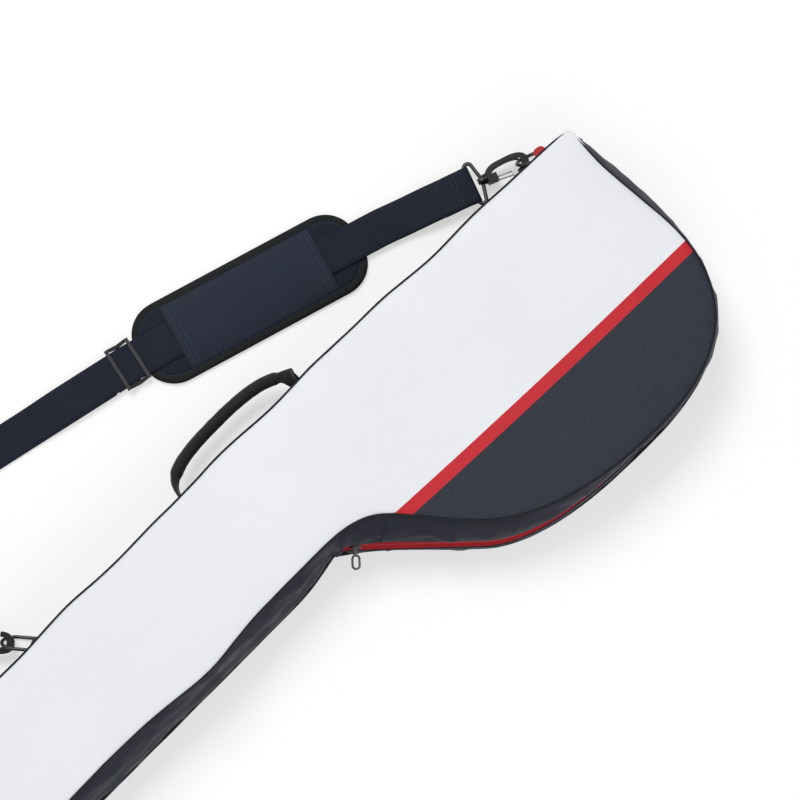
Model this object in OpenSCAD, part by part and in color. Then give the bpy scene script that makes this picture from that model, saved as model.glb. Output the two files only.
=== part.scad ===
// Club carry case: a long padded fabric tube with a D-shaped head, a zipped head flap,
// a side handle and a clip-on shoulder strap. It lies on its back, front face up.
// X runs from the spine towards the head's bulge, Y towards the head, Z up.
// The origin is under the tube's centre line, half way along, on the surface it lies on.

/* [Case] */
// Overall length of the case at its widest level
case_len = 1275; // [1060:5:1540]
// Width of the tube between its front seams
tube_w = 128; // [105:1:156]
// Width of the head between its front seams
head_w = 274; // [225:1:330]
// Length of the head, from the top down to the notch at its neck
head_len = 465; // [385:5:560]
// Height of the case from the surface it lies on to its front panel
case_depth = 90; // [76:1:110]
// Thickness of the padded front and back panels
panel_t = 4; // [3:0.5:6]
// Thickness of the gusset fabric and its lining
gusset_t = 3; // [2:0.5:4]
// How far the tube's gusset bulges past the front seam
tube_flare = 16; // [10:1:20]
// How far the gusset below the head bulges past the front seam
neck_flare = 30; // [22:1:34]
// Diameter of the piping in the seams
piping_d = 4; // [3:0.5:5]
// Width of the contrast stripe on the head
stripe_w = 12.5; // [8:0.5:20]

/* [Zip] */
// Height of the red band that shows between the two gusset edges
zip_band = 12; // [11:0.5:16]
// Length of the zip slider
slider_len = 12; // [10:1:16]
// Length of the puller ring
puller_len = 17; // [12:1:24]

/* [Handle] */
// Length of the carry handle between its two anchors
handle_len = 162; // [135:1:190]
// How far the handle stands out from the spine
handle_reach = 39; // [34:1:46]
// Diameter of the wrapped grip
grip_d = 13; // [10:0.5:16]
// Angle at which the handle droops below level
handle_droop = 30; // [20:1:32]

/* [Shoulder strap] */
// Width of the strap webbing
web_w = 38; // [32:1:44]
// Thickness of the strap webbing
web_t = 1.5; // [1.2:0.1:1.7]
// Length of the shoulder pad
pad_len = 248; // [206:1:260]
// Width of the shoulder pad
pad_w = 86; // [76:1:102]
// Width of the sleeve that covers the webbing on the pad
sleeve_w = 62; // [52:1:70]
// Length of that sleeve
sleeve_len = 166; // [138:1:190]
// How far the pad can be slid along the straight stretch of webbing
pad_travel = 14; // [8:1:14]
// How far the adjuster can be slid
adjuster_travel = 40; // [20:1:50]

/* [Metal fittings] */
// Wire diameter of the D-rings
ring_wire = 3.5; // [3:0.1:4]
// Clear width inside a D-ring
ring_in_w = 25; // [24:0.5:27]
// Wire diameter of the strap loops
loop_wire = 4; // [3.4:0.1:4.4]
// Thickness of the snap hook's cast body
hook_t = 7; // [6:0.2:7.6]
// Running clearance between a pin and its bore, on the radius
fit = 0.06; // [0.03:0.01:0.1]
// Clearance between pieces that move past each other
gap = 0.4; // [0.3:0.05:0.5]

/* [Hidden] */
$fn = 32;

// Levels of the shell
seam_z = case_depth - panel_t;
zip_z = case_depth / 2 + 0.5;
band_lo = zip_z - zip_band / 2;
band_hi = zip_z + zip_band / 2;

// Places that the outline is built on
spine_x = -tube_w / 2;
tube_x = tube_w / 2;
bulge_x = spine_x + head_w;
top_y = case_len / 2;
low_y = -case_len / 2;
notch_y = top_y - head_len;
top_flare = 11;
end_flare = 6;
bulge_flare = 2;
corner_r = 20;

// Columns of the outline where one piece hands over to the next
I_TUBE = 5;
I_ZIP = 12;
I_FLAP = 17;
I_CORNER = 47;
I_SPINE_END = 54;
I_COUNT = 60;

function dir(a) = [cos(a), sin(a)];
function mix(a, b, t) = a * (1 - t) + b * t;
function ease(t) = (1 - cos(180 * t)) / 2;
function bezier(p, q, r, s, t) =
    p * pow(1 - t, 3) + q * 3 * t * pow(1 - t, 2) + r * 3 * t * t * (1 - t) + s * pow(t, 3);
function flat(lists) = [for (l = lists) each l];
function reversed(l) = [for (i = [len(l) - 1:-1:0]) l[i]];
function lift(p, z) = [p.x, p.y, z];
// Where the line through p heading a meets the line through q heading b
function meet(p, a, q, b) =
    let (d = q - p, k = cross(dir(a), dir(b))) p + dir(a) * cross(d, dir(b)) / k;

// Stations round the case, anticlockwise from the tube's lower right corner. k = 0 is the
// front seam and k = 1 the widest level, where the gusset bulges most.
// Each row: place, heading in, reach in, heading out, reach out, steps to the next station.
function stations(k) = [
    [[tube_x - corner_r + k * tube_flare, low_y + end_flare * (1 - k)], 0, 0, 0, 11, 5],
    [[tube_x + k * tube_flare, low_y + end_flare + corner_r], 90, 11, 90, 200, 3],
    [[tube_x + k * tube_flare, notch_y - 62], 90, 200, 90, 24, 3],
    [[tube_x + k * 6, notch_y], 90 + k * 12, 18, 88 - k * 41.3, mix(44, 20, k), 8],
    [[tube_x + 30 + k * 0.6 * neck_flare, notch_y + 69 - k * 0.81 * neck_flare],
        mix(41, 46.7, k), 20, mix(41, 46.7, k), 26, 4],
    [[bulge_x - 50 + k * 10, notch_y + 127.5 - k * 22],
        mix(50, 46.7, k), 26, mix(50, 46.7, k), 60, 8],
    [[bulge_x + k * bulge_flare, top_y - 162], 90, 62, 90, 64, 7],
    [[bulge_x - 62 + k * 7, top_y - top_flare - 18 + k * 6], 152, 50, 152, 28, 5],
    [[mix(bulge_x, spine_x, 0.55), top_y - top_flare * (1 - k)], 180, 34, 180, 32, 4],
    [[spine_x + 22 + k * 4, top_y - top_flare - 5 + k * 10], 187, 30, 190 + k * 12, 9, 5],
    [[spine_x + 10, top_y - top_flare - 18], 268, 8, 268, 60, 1],
    [[spine_x - 1, notch_y + 118], 268, 60, 268, 60, 1],
    [[spine_x, low_y + end_flare + corner_r], 270, 11, 270, 11, 5],
    [[spine_x + corner_r, low_y + end_flare * (1 - k)], 0, 11, 0, 20, 1]
];

function outline_of(s) = flat([for (j = [0:len(s) - 1])
    let (a = s[j], b = s[(j + 1) % len(s)],
         q = a[0] + a[4] * dir(a[3]), r = b[0] - b[2] * dir(b[1]))
    [for (i = [0:a[5] - 1]) bezier(a[0], q, r, b[0], i / a[5])]]);
function outline(k) = outline_of(stations(k));

// Unit vector pointing out of the outline at column i
function outward(o, i) =
    let (n = len(o), d = o[(i + 1) % n] - o[(i + n - 1) % n]) [d.y, -d.x] / norm(d);

// Columns i0 to i1 of an outline moved out by m, both ends cut back by trim
function run(o, i0, i1, m = 0, trim = 0) =
    let (p = [for (i = [i0:i1]) o[i % len(o)] + m * outward(o, i % len(o))], n = len(p))
    [for (i = [0:n - 1])
        i == 0 ? p[0] + trim * (p[1] - p[0]) / norm(p[1] - p[0])
        : i == n - 1 ? p[i] + trim * (p[i - 1] - p[i]) / norm(p[i - 1] - p[i])
        : p[i]];

// How far out the wall stands at each height, as [height, k]
BACK_K = 0.8;
LOW_LEVELS = [[panel_t, BACK_K], [panel_t + 17, 0.94], [band_lo, 1]];
HIGH_K = 0.78;
HIGH_LEVELS = [[band_hi, HIGH_K], [mix(band_hi, seam_z, 0.58), 0.52], [seam_z, 0]];
FULL_LEVELS = concat(LOW_LEVELS, HIGH_LEVELS);

// A solid through a row of rings that all have the same number of corners
module skin(rings, closed = false) {
    m = len(rings[0]);
    n = len(rings);
    last = closed ? n - 1 : n - 2;
    sides = [for (i = [0:last], j = [0:m - 1])
        let (a = i * m + j, b = i * m + (j + 1) % m,
             c = (i + 1) % n * m + j, d = (i + 1) % n * m + (j + 1) % m)
        each [[a, b, d], [a, d, c]]];
    caps = closed ? [] : [for (i = [0, n - 1], j = [0:m / 2 - 2])
        let (a = i * m + j, b = i * m + m - 1 - j)
        each (i == 0 ? [[a, b, b - 1], [a, b - 1, a + 1]] : [[a, b - 1, b], [a, a + 1, b - 1]])];
    polyhedron(points = flat(rings), faces = concat(sides, caps));
}

// A stretch of gusset wall between two columns, through the given levels
module wall(levels, i0, i1, trim = 0) {
    outer = [for (l = levels) run(outline(l[1]), i0, i1, 0, trim)];
    inner = [for (l = levels) run(outline(l[1]), i0, i1, -gusset_t, trim)];
    top = len(levels) - 1;
    skin([for (i = [0:i1 - i0]) concat(
        [for (l = [0:top]) lift(outer[l][i], levels[l][0])],
        [for (l = [top:-1:0]) lift(inner[l][i], levels[l][0])])]);
}

// Piping of eight sides laid against the outside of an outline
module piping(o, i0, i1, z, trim = 0, closed = false) {
    r = piping_d / 2 / cos(22.5);
    centre = run(o, i0, i1, piping_d / 2, trim);
    skin([for (i = [0:i1 - i0])
        let (n = outward(o, (i0 + i) % len(o)))
        [for (a = [22.5:45:360]) lift(centre[i] + n * r * cos(a), z + r * sin(a))]], closed);
}

// A flat band that follows the widest level between two depths and two heights
module band(i0, i1, m0, m1, z0, z1) {
    o = outline(1);
    translate([0, 0, z0])
        linear_extrude(z1 - z0)
            polygon(concat(run(o, i0, i1, -m0, zip_trim), reversed(run(o, i0, i1, -m1, zip_trim))));
}

// ---- case shell ----

module back_panel() {
    color("#2c2e34")
        linear_extrude(panel_t)
            polygon(outline(BACK_K));
}

module spine_gusset() {
    color("#303138") wall(FULL_LEVELS, I_CORNER, I_SPINE_END);
}

module base_gusset() {
    color("#303138") wall(FULL_LEVELS, I_SPINE_END, I_COUNT + I_TUBE);
}

module tube_gusset() {
    color("#303138") wall(FULL_LEVELS, I_TUBE, I_ZIP);
}

module neck_gusset() {
    color("#303138") wall(HIGH_LEVELS, I_ZIP, I_FLAP);
}

module head_gusset_lower() {
    color("#303138") wall(LOW_LEVELS, I_ZIP, I_CORNER);
}

module head_gusset_upper() {
    color("#303138")
        difference() {
            wall(HIGH_LEVELS, I_FLAP, I_CORNER, gap);
            fold_block();
        }
}

// The fold line runs straight across the front, from the neck to the top corner
SEAM = outline(0);
fold_a = SEAM[I_FLAP];
fold_b = SEAM[I_CORNER];
fold_dir = (fold_b - fold_a) / norm(fold_b - fold_a);
fold_side = [fold_dir.y, -fold_dir.x];

// Everything on the tube's side of the fold, which nothing on the flap may reach into
module fold_block() {
    translate(lift(fold_a, band_hi))
        rotate([0, 0, atan2(fold_dir.y, fold_dir.x)])
            translate([-head_len, -gap, 0])
                cube([2 * head_len, tube_w, case_depth]);
}

module front_slab(points) {
    translate([0, 0, seam_z])
        linear_extrude(panel_t)
            polygon(points);
}

module front_panel() {
    color("#e6e7eb")
        front_slab(run(SEAM, I_CORNER, I_COUNT + I_FLAP));
}

// Edge of the contrast stripe, side = -1 or 1, from the neck seam to the crown
stripe_bow = 2.5;
function stripe_edge(side) =
    let (a = [tube_x + 31, notch_y + 50], b = [tube_x + 46, top_y + 20])
    [for (i = [0:10]) let (t = i / 10)
        mix(a, b, t) + [stripe_bow * 4 * t * (1 - t) + side * stripe_w / 2, 0]];

module flap_slab() {
    ahead = fold_side * gap;
    front_slab(concat([fold_a + ahead], run(SEAM, I_FLAP + 1, I_CORNER - 1), [fold_b + ahead]));
}

module between(left_line, right_line) {
    translate([0, 0, seam_z - 1])
        linear_extrude(panel_t + 2)
            polygon(concat(left_line, reversed(right_line)));
}

module flap_panel() {
    edge = stripe_edge(-1);
    color("#e6e7eb")
        intersection() {
            flap_slab();
            between([for (p = edge) p - [head_w, 0]], edge);
        }
}

module accent_stripe() {
    color("#bc3a3c")
        intersection() {
            flap_slab();
            between(stripe_edge(-1), stripe_edge(1));
        }
}

module accent_panel() {
    edge = stripe_edge(1);
    color("#383c46")
        intersection() {
            flap_slab();
            between(edge, [for (p = edge) p + [head_w, 0]]);
        }
}

piping_z = seam_z + panel_t / 2;

module front_piping() {
    color("#25262a") piping(SEAM, I_CORNER, I_COUNT + I_FLAP, piping_z, gap);
}

module flap_piping() {
    color("#25262a") piping(SEAM, I_FLAP, I_CORNER, piping_z, gap);
}

module back_piping() {
    color("#25262a") piping(outline(BACK_K), 0, I_COUNT - 1, panel_t / 2, 0, true);
}

// ---- zip ----

// zip_in: how far the zip stands back in the wall; zip_trim: how far its rows stop
// short at each end
zip_in = 3.3;
zip_trim = gap + 0.2;
tape_in = 1;
tape_t = 1;
coil_in = 0.4;
coil_t = 2.2;
coil_h = 1.9;
post_t = 0.9;
coil_off = post_t / 2 + 0.3;
slider_h = 9;

// One of the zip's tapes, upright at the coil and turned out to the gusset's edge.
// side = -1 below the coil and 1 above it.
module tape(side, i0, i1) {
    near = zip_z + side * (coil_off + coil_h);
    bend = zip_z + side * (slider_h / 2 + gap);
    far = side > 0 ? [band_hi, HIGH_K] : [band_lo, 1];
    rows = [[near, 1, zip_in + tape_in], [bend, 1, zip_in + tape_in], [far[0], far[1], tape_in]];
    levels = side > 0 ? rows : reversed(rows);
    outer = [for (l = levels) run(outline(l[1]), i0, i1, -l[2], zip_trim)];
    inner = [for (l = levels) run(outline(l[1]), i0, i1, -l[2] - tape_t, zip_trim)];
    color("#b03036")
        skin([for (i = [0:i1 - i0]) concat(
            [for (l = [0:2]) lift(outer[l][i], levels[l][0])],
            [for (l = [2:-1:0]) lift(inner[l][i], levels[l][0])])]);
}

// One row of the coil
module coil(side, i0, i1) {
    near = zip_z + side * coil_off;
    far = near + side * coil_h;
    color("#c03a40")
        band(i0, i1, zip_in + coil_in, zip_in + coil_in + coil_t, min(near, far), max(near, far));
}

module zip_tape_lower() {
    tape(-1, I_ZIP, I_CORNER);
}

module zip_tape_lead() {
    tape(1, I_ZIP, I_FLAP);
}

module zip_tape_upper() {
    tape(1, I_FLAP, I_CORNER);
}

module zip_coil_lower() {
    coil(-1, I_ZIP, I_CORNER);
}

module zip_coil_lead() {
    coil(1, I_ZIP, I_FLAP);
}

module zip_coil_upper() {
    coil(1, I_FLAP, I_CORNER);
}

// Slider frame: x along the zip towards the bulge, y out of the case, z up
BELLY = outline(1);
zip_run = BELLY[I_FLAP + 2] - BELLY[I_ZIP];
zip_heading = atan2(zip_run.y, zip_run.x);
slider_at = BELLY[I_ZIP] + dir(zip_heading) * 15 + dir(zip_heading + 90) * zip_in;
plate_t = 1.4;
lug_y = plate_t + 1.6;
lug_w = 2.4;
pull_pin_r = 0.7;

module slider_frame() {
    translate(lift(slider_at, zip_z))
        rotate([0, 0, zip_heading])
            mirror([0, 1, 0])
                children();
}

// One plate of the slider, from y0 to y1, its corners cut back towards the nose
module slider_plate(y0, y1) {
    nose = slider_h / 4;
    translate([0, y1, 0])
        rotate([90, 0, 0])
            linear_extrude(y1 - y0)
                polygon([[-slider_len / 2, -nose], [-slider_len / 6, -slider_h / 2],
                    [slider_len / 2, -slider_h / 2], [slider_len / 2, slider_h / 2],
                    [-slider_len / 6, slider_h / 2], [-slider_len / 2, nose]]);
}

module zip_slider() {
    inner_face = -coil_in - coil_t - gap;
    rim_h = slider_h / 2 - coil_off - coil_h - gap;
    color("#3c3d40")
        slider_frame()
            difference() {
                union() {
                    slider_plate(0, plate_t);
                    slider_plate(inner_face - plate_t, inner_face);
                    // Post that joins the plates between the two rows of teeth
                    translate([slider_len / 4, inner_face - 0.1, -post_t / 2])
                        cube([slider_len / 5, -inner_face + 0.2, post_t]);
                    // Rims that keep the tape edges in
                    for (side = [-1, 1], y = [[-tape_in + gap, 0.1],
                            [inner_face - 0.1, -tape_in - tape_t - gap]])
                        translate([-slider_len / 6, y[0],
                                side > 0 ? slider_h / 2 - rim_h : -slider_h / 2])
                            cube([slider_len * 2 / 3, y[1] - y[0], rim_h]);
                    // Lug that carries the puller
                    translate([0, plate_t - 0.1, -lug_w / 2])
                        linear_extrude(lug_w)
                            polygon([[-3.2, 0], [3.2, 0], [1.8, lug_y], [-1.8, lug_y]]);
                }
                translate([0, lug_y, -lug_w])
                    cylinder(r = pull_pin_r + fit, h = lug_w * 2);
            }
}

// Puller: a pin through the lug, two arms and an open wire ring
module zip_puller() {
    arm_z = lug_w / 2 + gap / 2;
    wire = 1.1;
    ring_r = 3.4;
    link_y = lug_y + 4;
    color("#4a4b4e")
        slider_frame() {
            translate([0, lug_y, -arm_z - wire])
                cylinder(r = pull_pin_r, h = 2 * (arm_z + wire));
            for (z = [-arm_z - wire, arm_z]) {
                translate([0, lug_y, z])
                    cylinder(r = wire, h = wire);
                translate([0.1 - wire, lug_y, z])
                    cube([2 * wire - 0.2, link_y - lug_y, wire]);
            }
            translate([-wire, link_y - wire, -arm_z - wire])
                cube([2 * wire, 2 * wire, 2 * (arm_z + wire)]);
            for (end = [0, 1])
                translate([0, link_y + wire + ring_r + end * (puller_len - 2 * ring_r - 4), 0])
                    rotate_extrude(angle = 180, start = end ? 0 : 180)
                        translate([ring_r, 0])
                            circle(r = wire);
            for (side = [-1, 1])
                translate([side * ring_r, link_y + wire + ring_r, 0])
                    rotate([-90, 0, 0])
                        cylinder(r = wire, h = puller_len - 2 * ring_r - 4);
        }
}

// Folded tab of zip tape at the top corner
module zip_end_tab() {
    y = top_y - 45;
    color("#b8363c")
        translate([spine_edge(y), y, zip_z])
            rotate([0, 0, -98])
                translate([-7, -11, -1.3])
                    linear_extrude(2.6)
                        polygon([[0, 0], [3, -2.5], [9, -2.5], [12, 0], [12, 10.5], [0, 10.1]]);
}

// ---- carry handle ----

// x of the spine seam at height y of the case
function spine_edge(y) =
    let (a = [spine_x + 10, top_y - top_flare - 18], b = [spine_x - 1, notch_y + 118],
         c = [spine_x, low_y + end_flare + corner_r],
         p = y > b.y ? a : b, q = y > b.y ? b : c)
    mix(q.x, p.x, (y - q.y) / (p.y - q.y));

handle_top = notch_y + 96;
handle_mid = handle_top - handle_len / 2;
handle_z = case_depth / 2;
anchor_t = 2.4;
anchor_w = 22;
handle_x = spine_edge(handle_mid) - anchor_t - 0.6;
handle_lean = atan2(spine_edge(handle_top) - spine_edge(handle_top - handle_len), handle_len);

// Handle frame: x out of the spine, y along it, z up when the handle stands level
module handle_frame() {
    translate([handle_x, handle_mid, handle_z])
        rotate([0, 0, 180 - handle_lean])
            rotate([0, handle_droop, 0])
                mirror([0, 1, 0])
                    children();
}

// Centre line of the handle in its own plane
function handle_line(t) =
    let (h = handle_len / 2, r = handle_reach)
    t < 0.5 ? bezier([1.2, -h], [r * 0.9, -h * 0.98], [r, -h * 0.6], [r, 0], t * 2)
    : bezier([r, 0], [r, h * 0.55], [r * 0.8, h * 0.93], [1.2, h], t * 2 - 1);

// Rounded section, wide as a flat strap at the ends and round on the grip
module handle_sweep(t0, t1, steps, w0, h0, w1, h1) {
    skin([for (i = [0:steps])
        let (f = i / steps, t = mix(t0, t1, f), c = handle_line(t),
             d = handle_line(t + 0.004) - handle_line(t - 0.004), n = [d.y, -d.x] / norm(d),
             w = mix(w0, w1, f), h = mix(h0, h1, f))
        [for (a = [0:36:324]) lift(c + n * w / 2 * cos(a), h / 2 * sin(a))]]);
}

grip_from = 0.17;
grip_to = 0.84;
root_t = 0.015;
root_w = 6;
root_h = 4.4;

module handle_grip() {
    color("#2b2b2c")
        handle_frame()
            handle_sweep(grip_from, grip_to, 16, grip_d, grip_d, grip_d, grip_d);
}

module handle_tab_upper() {
    color("#232427")
        handle_frame()
            handle_sweep(grip_to, 1 - root_t, 5, grip_d * 0.7, grip_d * 0.9, root_w, root_h);
}

module handle_tab_lower() {
    color("#232427")
        handle_frame()
            handle_sweep(root_t, grip_from, 5, root_w, root_h, grip_d * 0.7, grip_d * 0.9);
}

// Strip of webbing sewn flat on the spine between two places along it
module spine_strip(y0, y1, z, w, t) {
    bend = notch_y + 118;
    places = bend > y0 && bend < y1 ? [y0, bend, y1] : [y0, y1];
    translate([0, 0, z - w / 2])
        linear_extrude(w)
            polygon(concat([for (y = places) [spine_edge(y), y]],
                reversed([for (y = places) [spine_edge(y) - t, y]])));
}

module handle_anchor_upper() {
    color("#232427") spine_strip(handle_top + 4, handle_top + 44, handle_z, anchor_w, anchor_t);
}

module handle_anchor_lower() {
    y = handle_top - handle_len;
    color("#232427") spine_strip(y - 44, y - 4, handle_z, anchor_w, anchor_t);
}

// ---- strap chain: loop, snap hook, D-ring and its tab ----
// Chain frame: x along the chain towards the case, y to its left, z up, origin at the bar
// of the strap loop. The chain lies a little above the surface, as high as the D-ring.

chain_z = 15;
ring_tilt = 64;
hub_from = 9.2;
hub_to = 13;
hub_r = 5;
post_r = 2;
eye_end = 55.2;
ring_r = (ring_in_w + ring_wire) / 2;
ring_leg = 17;
ring_slack = 3.2;
ring_bow = eye_end - ring_slack - ring_wire / 2;
ring_bar = ring_bow + ring_r + ring_leg;
upper_heading = 69.2;
lower_heading = 40;
upper_ring_y = top_y - 32;
ring_spacing = 699;
lower_ring_y = upper_ring_y - ring_spacing;
upper_bar = [spine_edge(upper_ring_y) - 8.3, upper_ring_y] - dir(upper_heading) * ring_bar;
lower_bar = [spine_edge(lower_ring_y) - 9.5, lower_ring_y] - dir(lower_heading) * ring_bar;

module chain_frame(at, heading) {
    translate(lift(at, chain_z))
        rotate([0, 0, heading])
            children();
}

module at_upper() {
    chain_frame(upper_bar, upper_heading) children();
}

module at_lower() {
    chain_frame(lower_bar, lower_heading)
        mirror([0, 1, 0])
            children();
}

// A straight bar of round wire between two points in the frame's own plane
module wire(p, q, r) {
    d = q - p;
    translate(p)
        rotate([0, 0, atan2(d.y, d.x)])
            rotate([0, 90, 0])
                cylinder(r = r, h = norm(d));
}

// Narrow wire loop with the hub that the snap hook swivels in
module strap_loop() {
    r = loop_wire / 2;
    bend = 4;
    centre = [bend, web_w / 2 + r + 0.6 - bend];
    to_hub = [mix(hub_from, hub_to, 0.5), 4] - centre;
    leaves = atan2(to_hub.y, to_hub.x) + acos(bend / norm(to_hub));
    arm = sqrt(to_hub * to_hub - bend * bend);
    // Straight lengths are a shade thinner than the bends and run a little way into them
    tuck = 0.5;
    thin = r - 0.05;
    color("#55565a")
        difference() {
            union() {
                wire([0, -centre.y - tuck, 0], [0, centre.y + tuck, 0], thin);
                for (side = [0, 1])
                    mirror([0, side, 0])
                        translate(centre)
                            rotate([0, 0, leaves]) {
                                rotate_extrude(angle = 180 - leaves)
                                    translate([bend, 0])
                                        circle(r = r);
                                translate([bend, tuck, 0])
                                    rotate([90, 0, 0])
                                        cylinder(r = thin, h = arm + tuck);
                            }
                translate([hub_from, 0, 0])
                    rotate([0, 90, 0])
                        cylinder(r = hub_r, h = hub_to - hub_from);
            }
            translate([hub_from - 5, 0, 0])
                rotate([0, 90, 0])
                    cylinder(r = post_r + fit, h = 15);
        }
}

// Plan outline of a band of changing width along a curve; rows are [x, y, width]
function ribbon(rows) =
    let (n = len(rows), side = function (i, s)
        let (a = rows[max(i - 1, 0)], b = rows[min(i + 1, n - 1)],
             d = [b.x - a.x, b.y - a.y])
        [rows[i].x, rows[i].y] + s * rows[i][2] / 2 * [-d.y, d.x] / norm(d))
    concat([for (i = [0:n - 1]) side(i, 1)], [for (i = [n - 1:-1:0]) side(i, -1)]);

function hook_curve(p, h0, l0, w0, q, h1, l1, w1, n) =
    [for (i = [0:n]) let (t = i / n,
        c = bezier(p, p + l0 * dir(h0), q - l1 * dir(h1), q, t)) [c.x, c.y, mix(w0, w1, t)]];

HOOK_BACK = hook_curve([17, 0], 62, 10, 6.5, [37, 9.2], 4, 8, 5.6, 8);
HOOK_BOW = hook_curve([36.5, 9.17], 4, 12, 5.45, [eye_end + 4, 1], -96, 8, 8, 8);
HOOK_NOSE = hook_curve([eye_end + 4.05, 1.5], -96, 6, 7.8, [48.4, -7.2], -184, 5, 5, 7);

module hook_layer(shrink, z0, z1) {
    for (part = [HOOK_BACK, HOOK_BOW, HOOK_NOSE])
        translate([0, 0, z0])
            linear_extrude(z1 - z0)
                polygon(ribbon([for (r = part) [r.x, r.y, r[2] - shrink]]));
}

gate_at = [22, -4.2];
gate_pin_r = 1.2;
gate_r = 2.7;
gate_h = 4.6;

module snap_hook() {
    bevel = 0.9;
    half = hook_t / 2;
    color("#2f3033")
        difference() {
            union() {
                hook_layer(0, -half + bevel, half - bevel);
                hook_layer(2 * bevel, -half, half);
                // Collar, swivel post and its head
                translate([hub_to + gap, 0, 0])
                    rotate([0, 90, 0])
                        cylinder(r = hub_r + 0.4, h = 4);
                translate([hub_from - 2, 0, 0])
                    rotate([0, 90, 0])
                        cylinder(r = post_r, h = hub_to - hub_from + 4);
                translate([hub_from - gap - 1.6, 0, 0])
                    rotate([0, 90, 0])
                        cylinder(r = 3.3, h = 1.6);
                // Cheeks on either side of the gate's barrel
                for (z = [-half, gate_h / 2 + gap / 2])
                    translate([hub_to + 3, -7.2, z])
                        cube([11.5, 9.2, half - gate_h / 2 - gap / 2]);
                translate([hub_to + 3, -7.2, -half])
                    cube([3, 9.2, hook_t]);
                translate(lift(gate_at, -half - 0.5))
                    cylinder(r = gate_pin_r, h = hook_t + 1);
                for (z = [-half - 0.7, half])
                    translate(lift(gate_at, z))
                        cylinder(r = 2, h = 0.7);
            }
            translate([eye_end - 0.6, 5.4, -hook_t])
                cylinder(r = 1.2, h = hook_t * 2);
        }
}

// Gate: barrel, two parallel wires and the block that closes on the hook's nose
module hook_gate() {
    wire_r = 0.8;
    tip = [42.2, -6.4];
    color("#8a8c90")
        difference() {
            union() {
                translate(lift(gate_at, -gate_h / 2))
                    cylinder(r = gate_r, h = gate_h);
                wire(lift(gate_at, 0) + [0.5, 1.7, 0], lift(tip, 0) + [1, 2.6, 0], wire_r);
                wire(lift(gate_at, 0) + [0.5, -1.7, 0], lift(tip, 0) + [1, -1.4, 0], wire_r);
                translate(lift(tip, -2.6))
                    linear_extrude(5.2)
                        polygon([[0, -2.4], [3.2, -2.8], [4.6, -1], [4.6, 1.8], [3, 3.6], [0, 3.2]]);
            }
            translate(lift(gate_at, -gate_h))
                cylinder(r = gate_pin_r + fit, h = gate_h * 2);
        }
}

// D-ring frame: origin at the middle of its straight bar, bow towards -x. The ring leans
// with its left side down, or up if side is 1.
module ring_frame(side) {
    translate([ring_bar, 0, 0])
        rotate([side * ring_tilt, 0, 0])
            children();
}

module d_ring(side) {
    r = ring_wire / 2;
    color("#4b4c50")
        ring_frame(side) {
            wire([0, -ring_r, 0], [0, ring_r, 0], r);
            for (side = [-1, 1]) {
                translate([0, side * ring_r, 0])
                    sphere(r = r);
                wire([-ring_leg, side * ring_r, 0], [0, side * ring_r, 0], r);
            }
            translate([-ring_leg, 0, 0])
                rotate_extrude(angle = 180, start = 90)
                    translate([ring_r, 0])
                        circle(r = r);
        }
}

tab_t = 1.4;
tab_w = ring_in_w - 3;

// Webbing that goes round the ring's bar and back to the case
module ring_tab_loop(side, reach, turn) {
    bore = ring_wire / 2 + fit;
    ring_frame(side)
        rotate([90, turn, 0])
            translate([0, 0, -tab_w / 2])
                linear_extrude(tab_w)
                    union() {
                        difference() {
                            circle(r = bore + tab_t);
                            circle(r = bore);
                        }
                        translate([bore, -tab_t])
                            square([reach - bore, 2 * tab_t]);
                    }
}

// The outside of the spine wall, as a block that everything sewn on it stops at
module spine_block() {
    for (part = [[outline(0.95), 0, seam_z], [outline(BACK_K), piping_d + 0.1, panel_t + 0.1]])
        linear_extrude(part[2])
            polygon(concat(run(part[0], I_CORNER - 4, I_SPINE_END, part[1]),
                [[0, low_y], [0, top_y - 60]]));
}

module ring_tab_upper() {
    color("#232427")
        difference() {
            at_upper() ring_tab_loop(-1, 24, 22);
            spine_block();
        }
}

module ring_tab_lower() {
    color("#232427") {
        difference() {
            at_lower() ring_tab_loop(1, 24, 0);
            spine_block();
        }
        spine_strip(lower_ring_y - 78, lower_ring_y + 14, chain_z + 6, tab_w, 2 * tab_t);
    }
}

// ---- shoulder strap ----

pad_heading = 73.5;
tail_heading = 77.7;
web_z = 6.4;
floor_z = 0.1;
upper_run = 98.4;
pad_to_bend = pad_len / 2 + pad_travel + 11;
pad_to_adjuster = pad_len / 2 + 4;
upper_bend = upper_bar - dir(upper_heading) * upper_run;
pad_at = upper_bend - dir(pad_heading) * pad_to_bend;
lower_bend = pad_at - dir(pad_heading) * pad_to_adjuster;
turn_at = meet(lower_bend, tail_heading, lower_bar, lower_heading);
tail_len = norm(turn_at - lower_bend);
return_len = norm(turn_at - lower_bar);
turn_line = (tail_heading + 180 + lower_heading) / 2;

// Heights of webbing between rows of [distance, underside], eased from row to row
function drape(rows, n = 8) = concat([for (i = [0:len(rows) - 2], j = [0:n - 1])
    [mix(rows[i][0], rows[i + 1][0], j / n), mix(rows[i][1], rows[i + 1][1], ease(j / n))]],
    [rows[len(rows) - 1]]);

// Webbing laid along x, its underside following [distance, height]
module web(line, t = web_t) {
    translate([0, web_w / 2, 0])
        rotate([90, 0, 0])
            linear_extrude(web_w)
                polygon(concat(line, reversed([for (p = line) p + [0, t]])));
}

// Half turn of webbing round a bar of radius r at the frame's origin, open towards -x
module web_roll(r) {
    translate([0, web_w / 2, 0])
        rotate([90, 0, 0])
            linear_extrude(web_w)
                difference() {
                    circle(r = r + web_t);
                    circle(r = r);
                    translate([-2 * (r + web_t), -r - web_t - 1])
                        square([2 * (r + web_t), 2 * (r + web_t + 1)]);
                }
}

loop_bore = loop_wire / 2 + 0.2;

module on_floor(at, heading) {
    translate(at)
        rotate([0, 0, heading])
            children();
}

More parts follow.
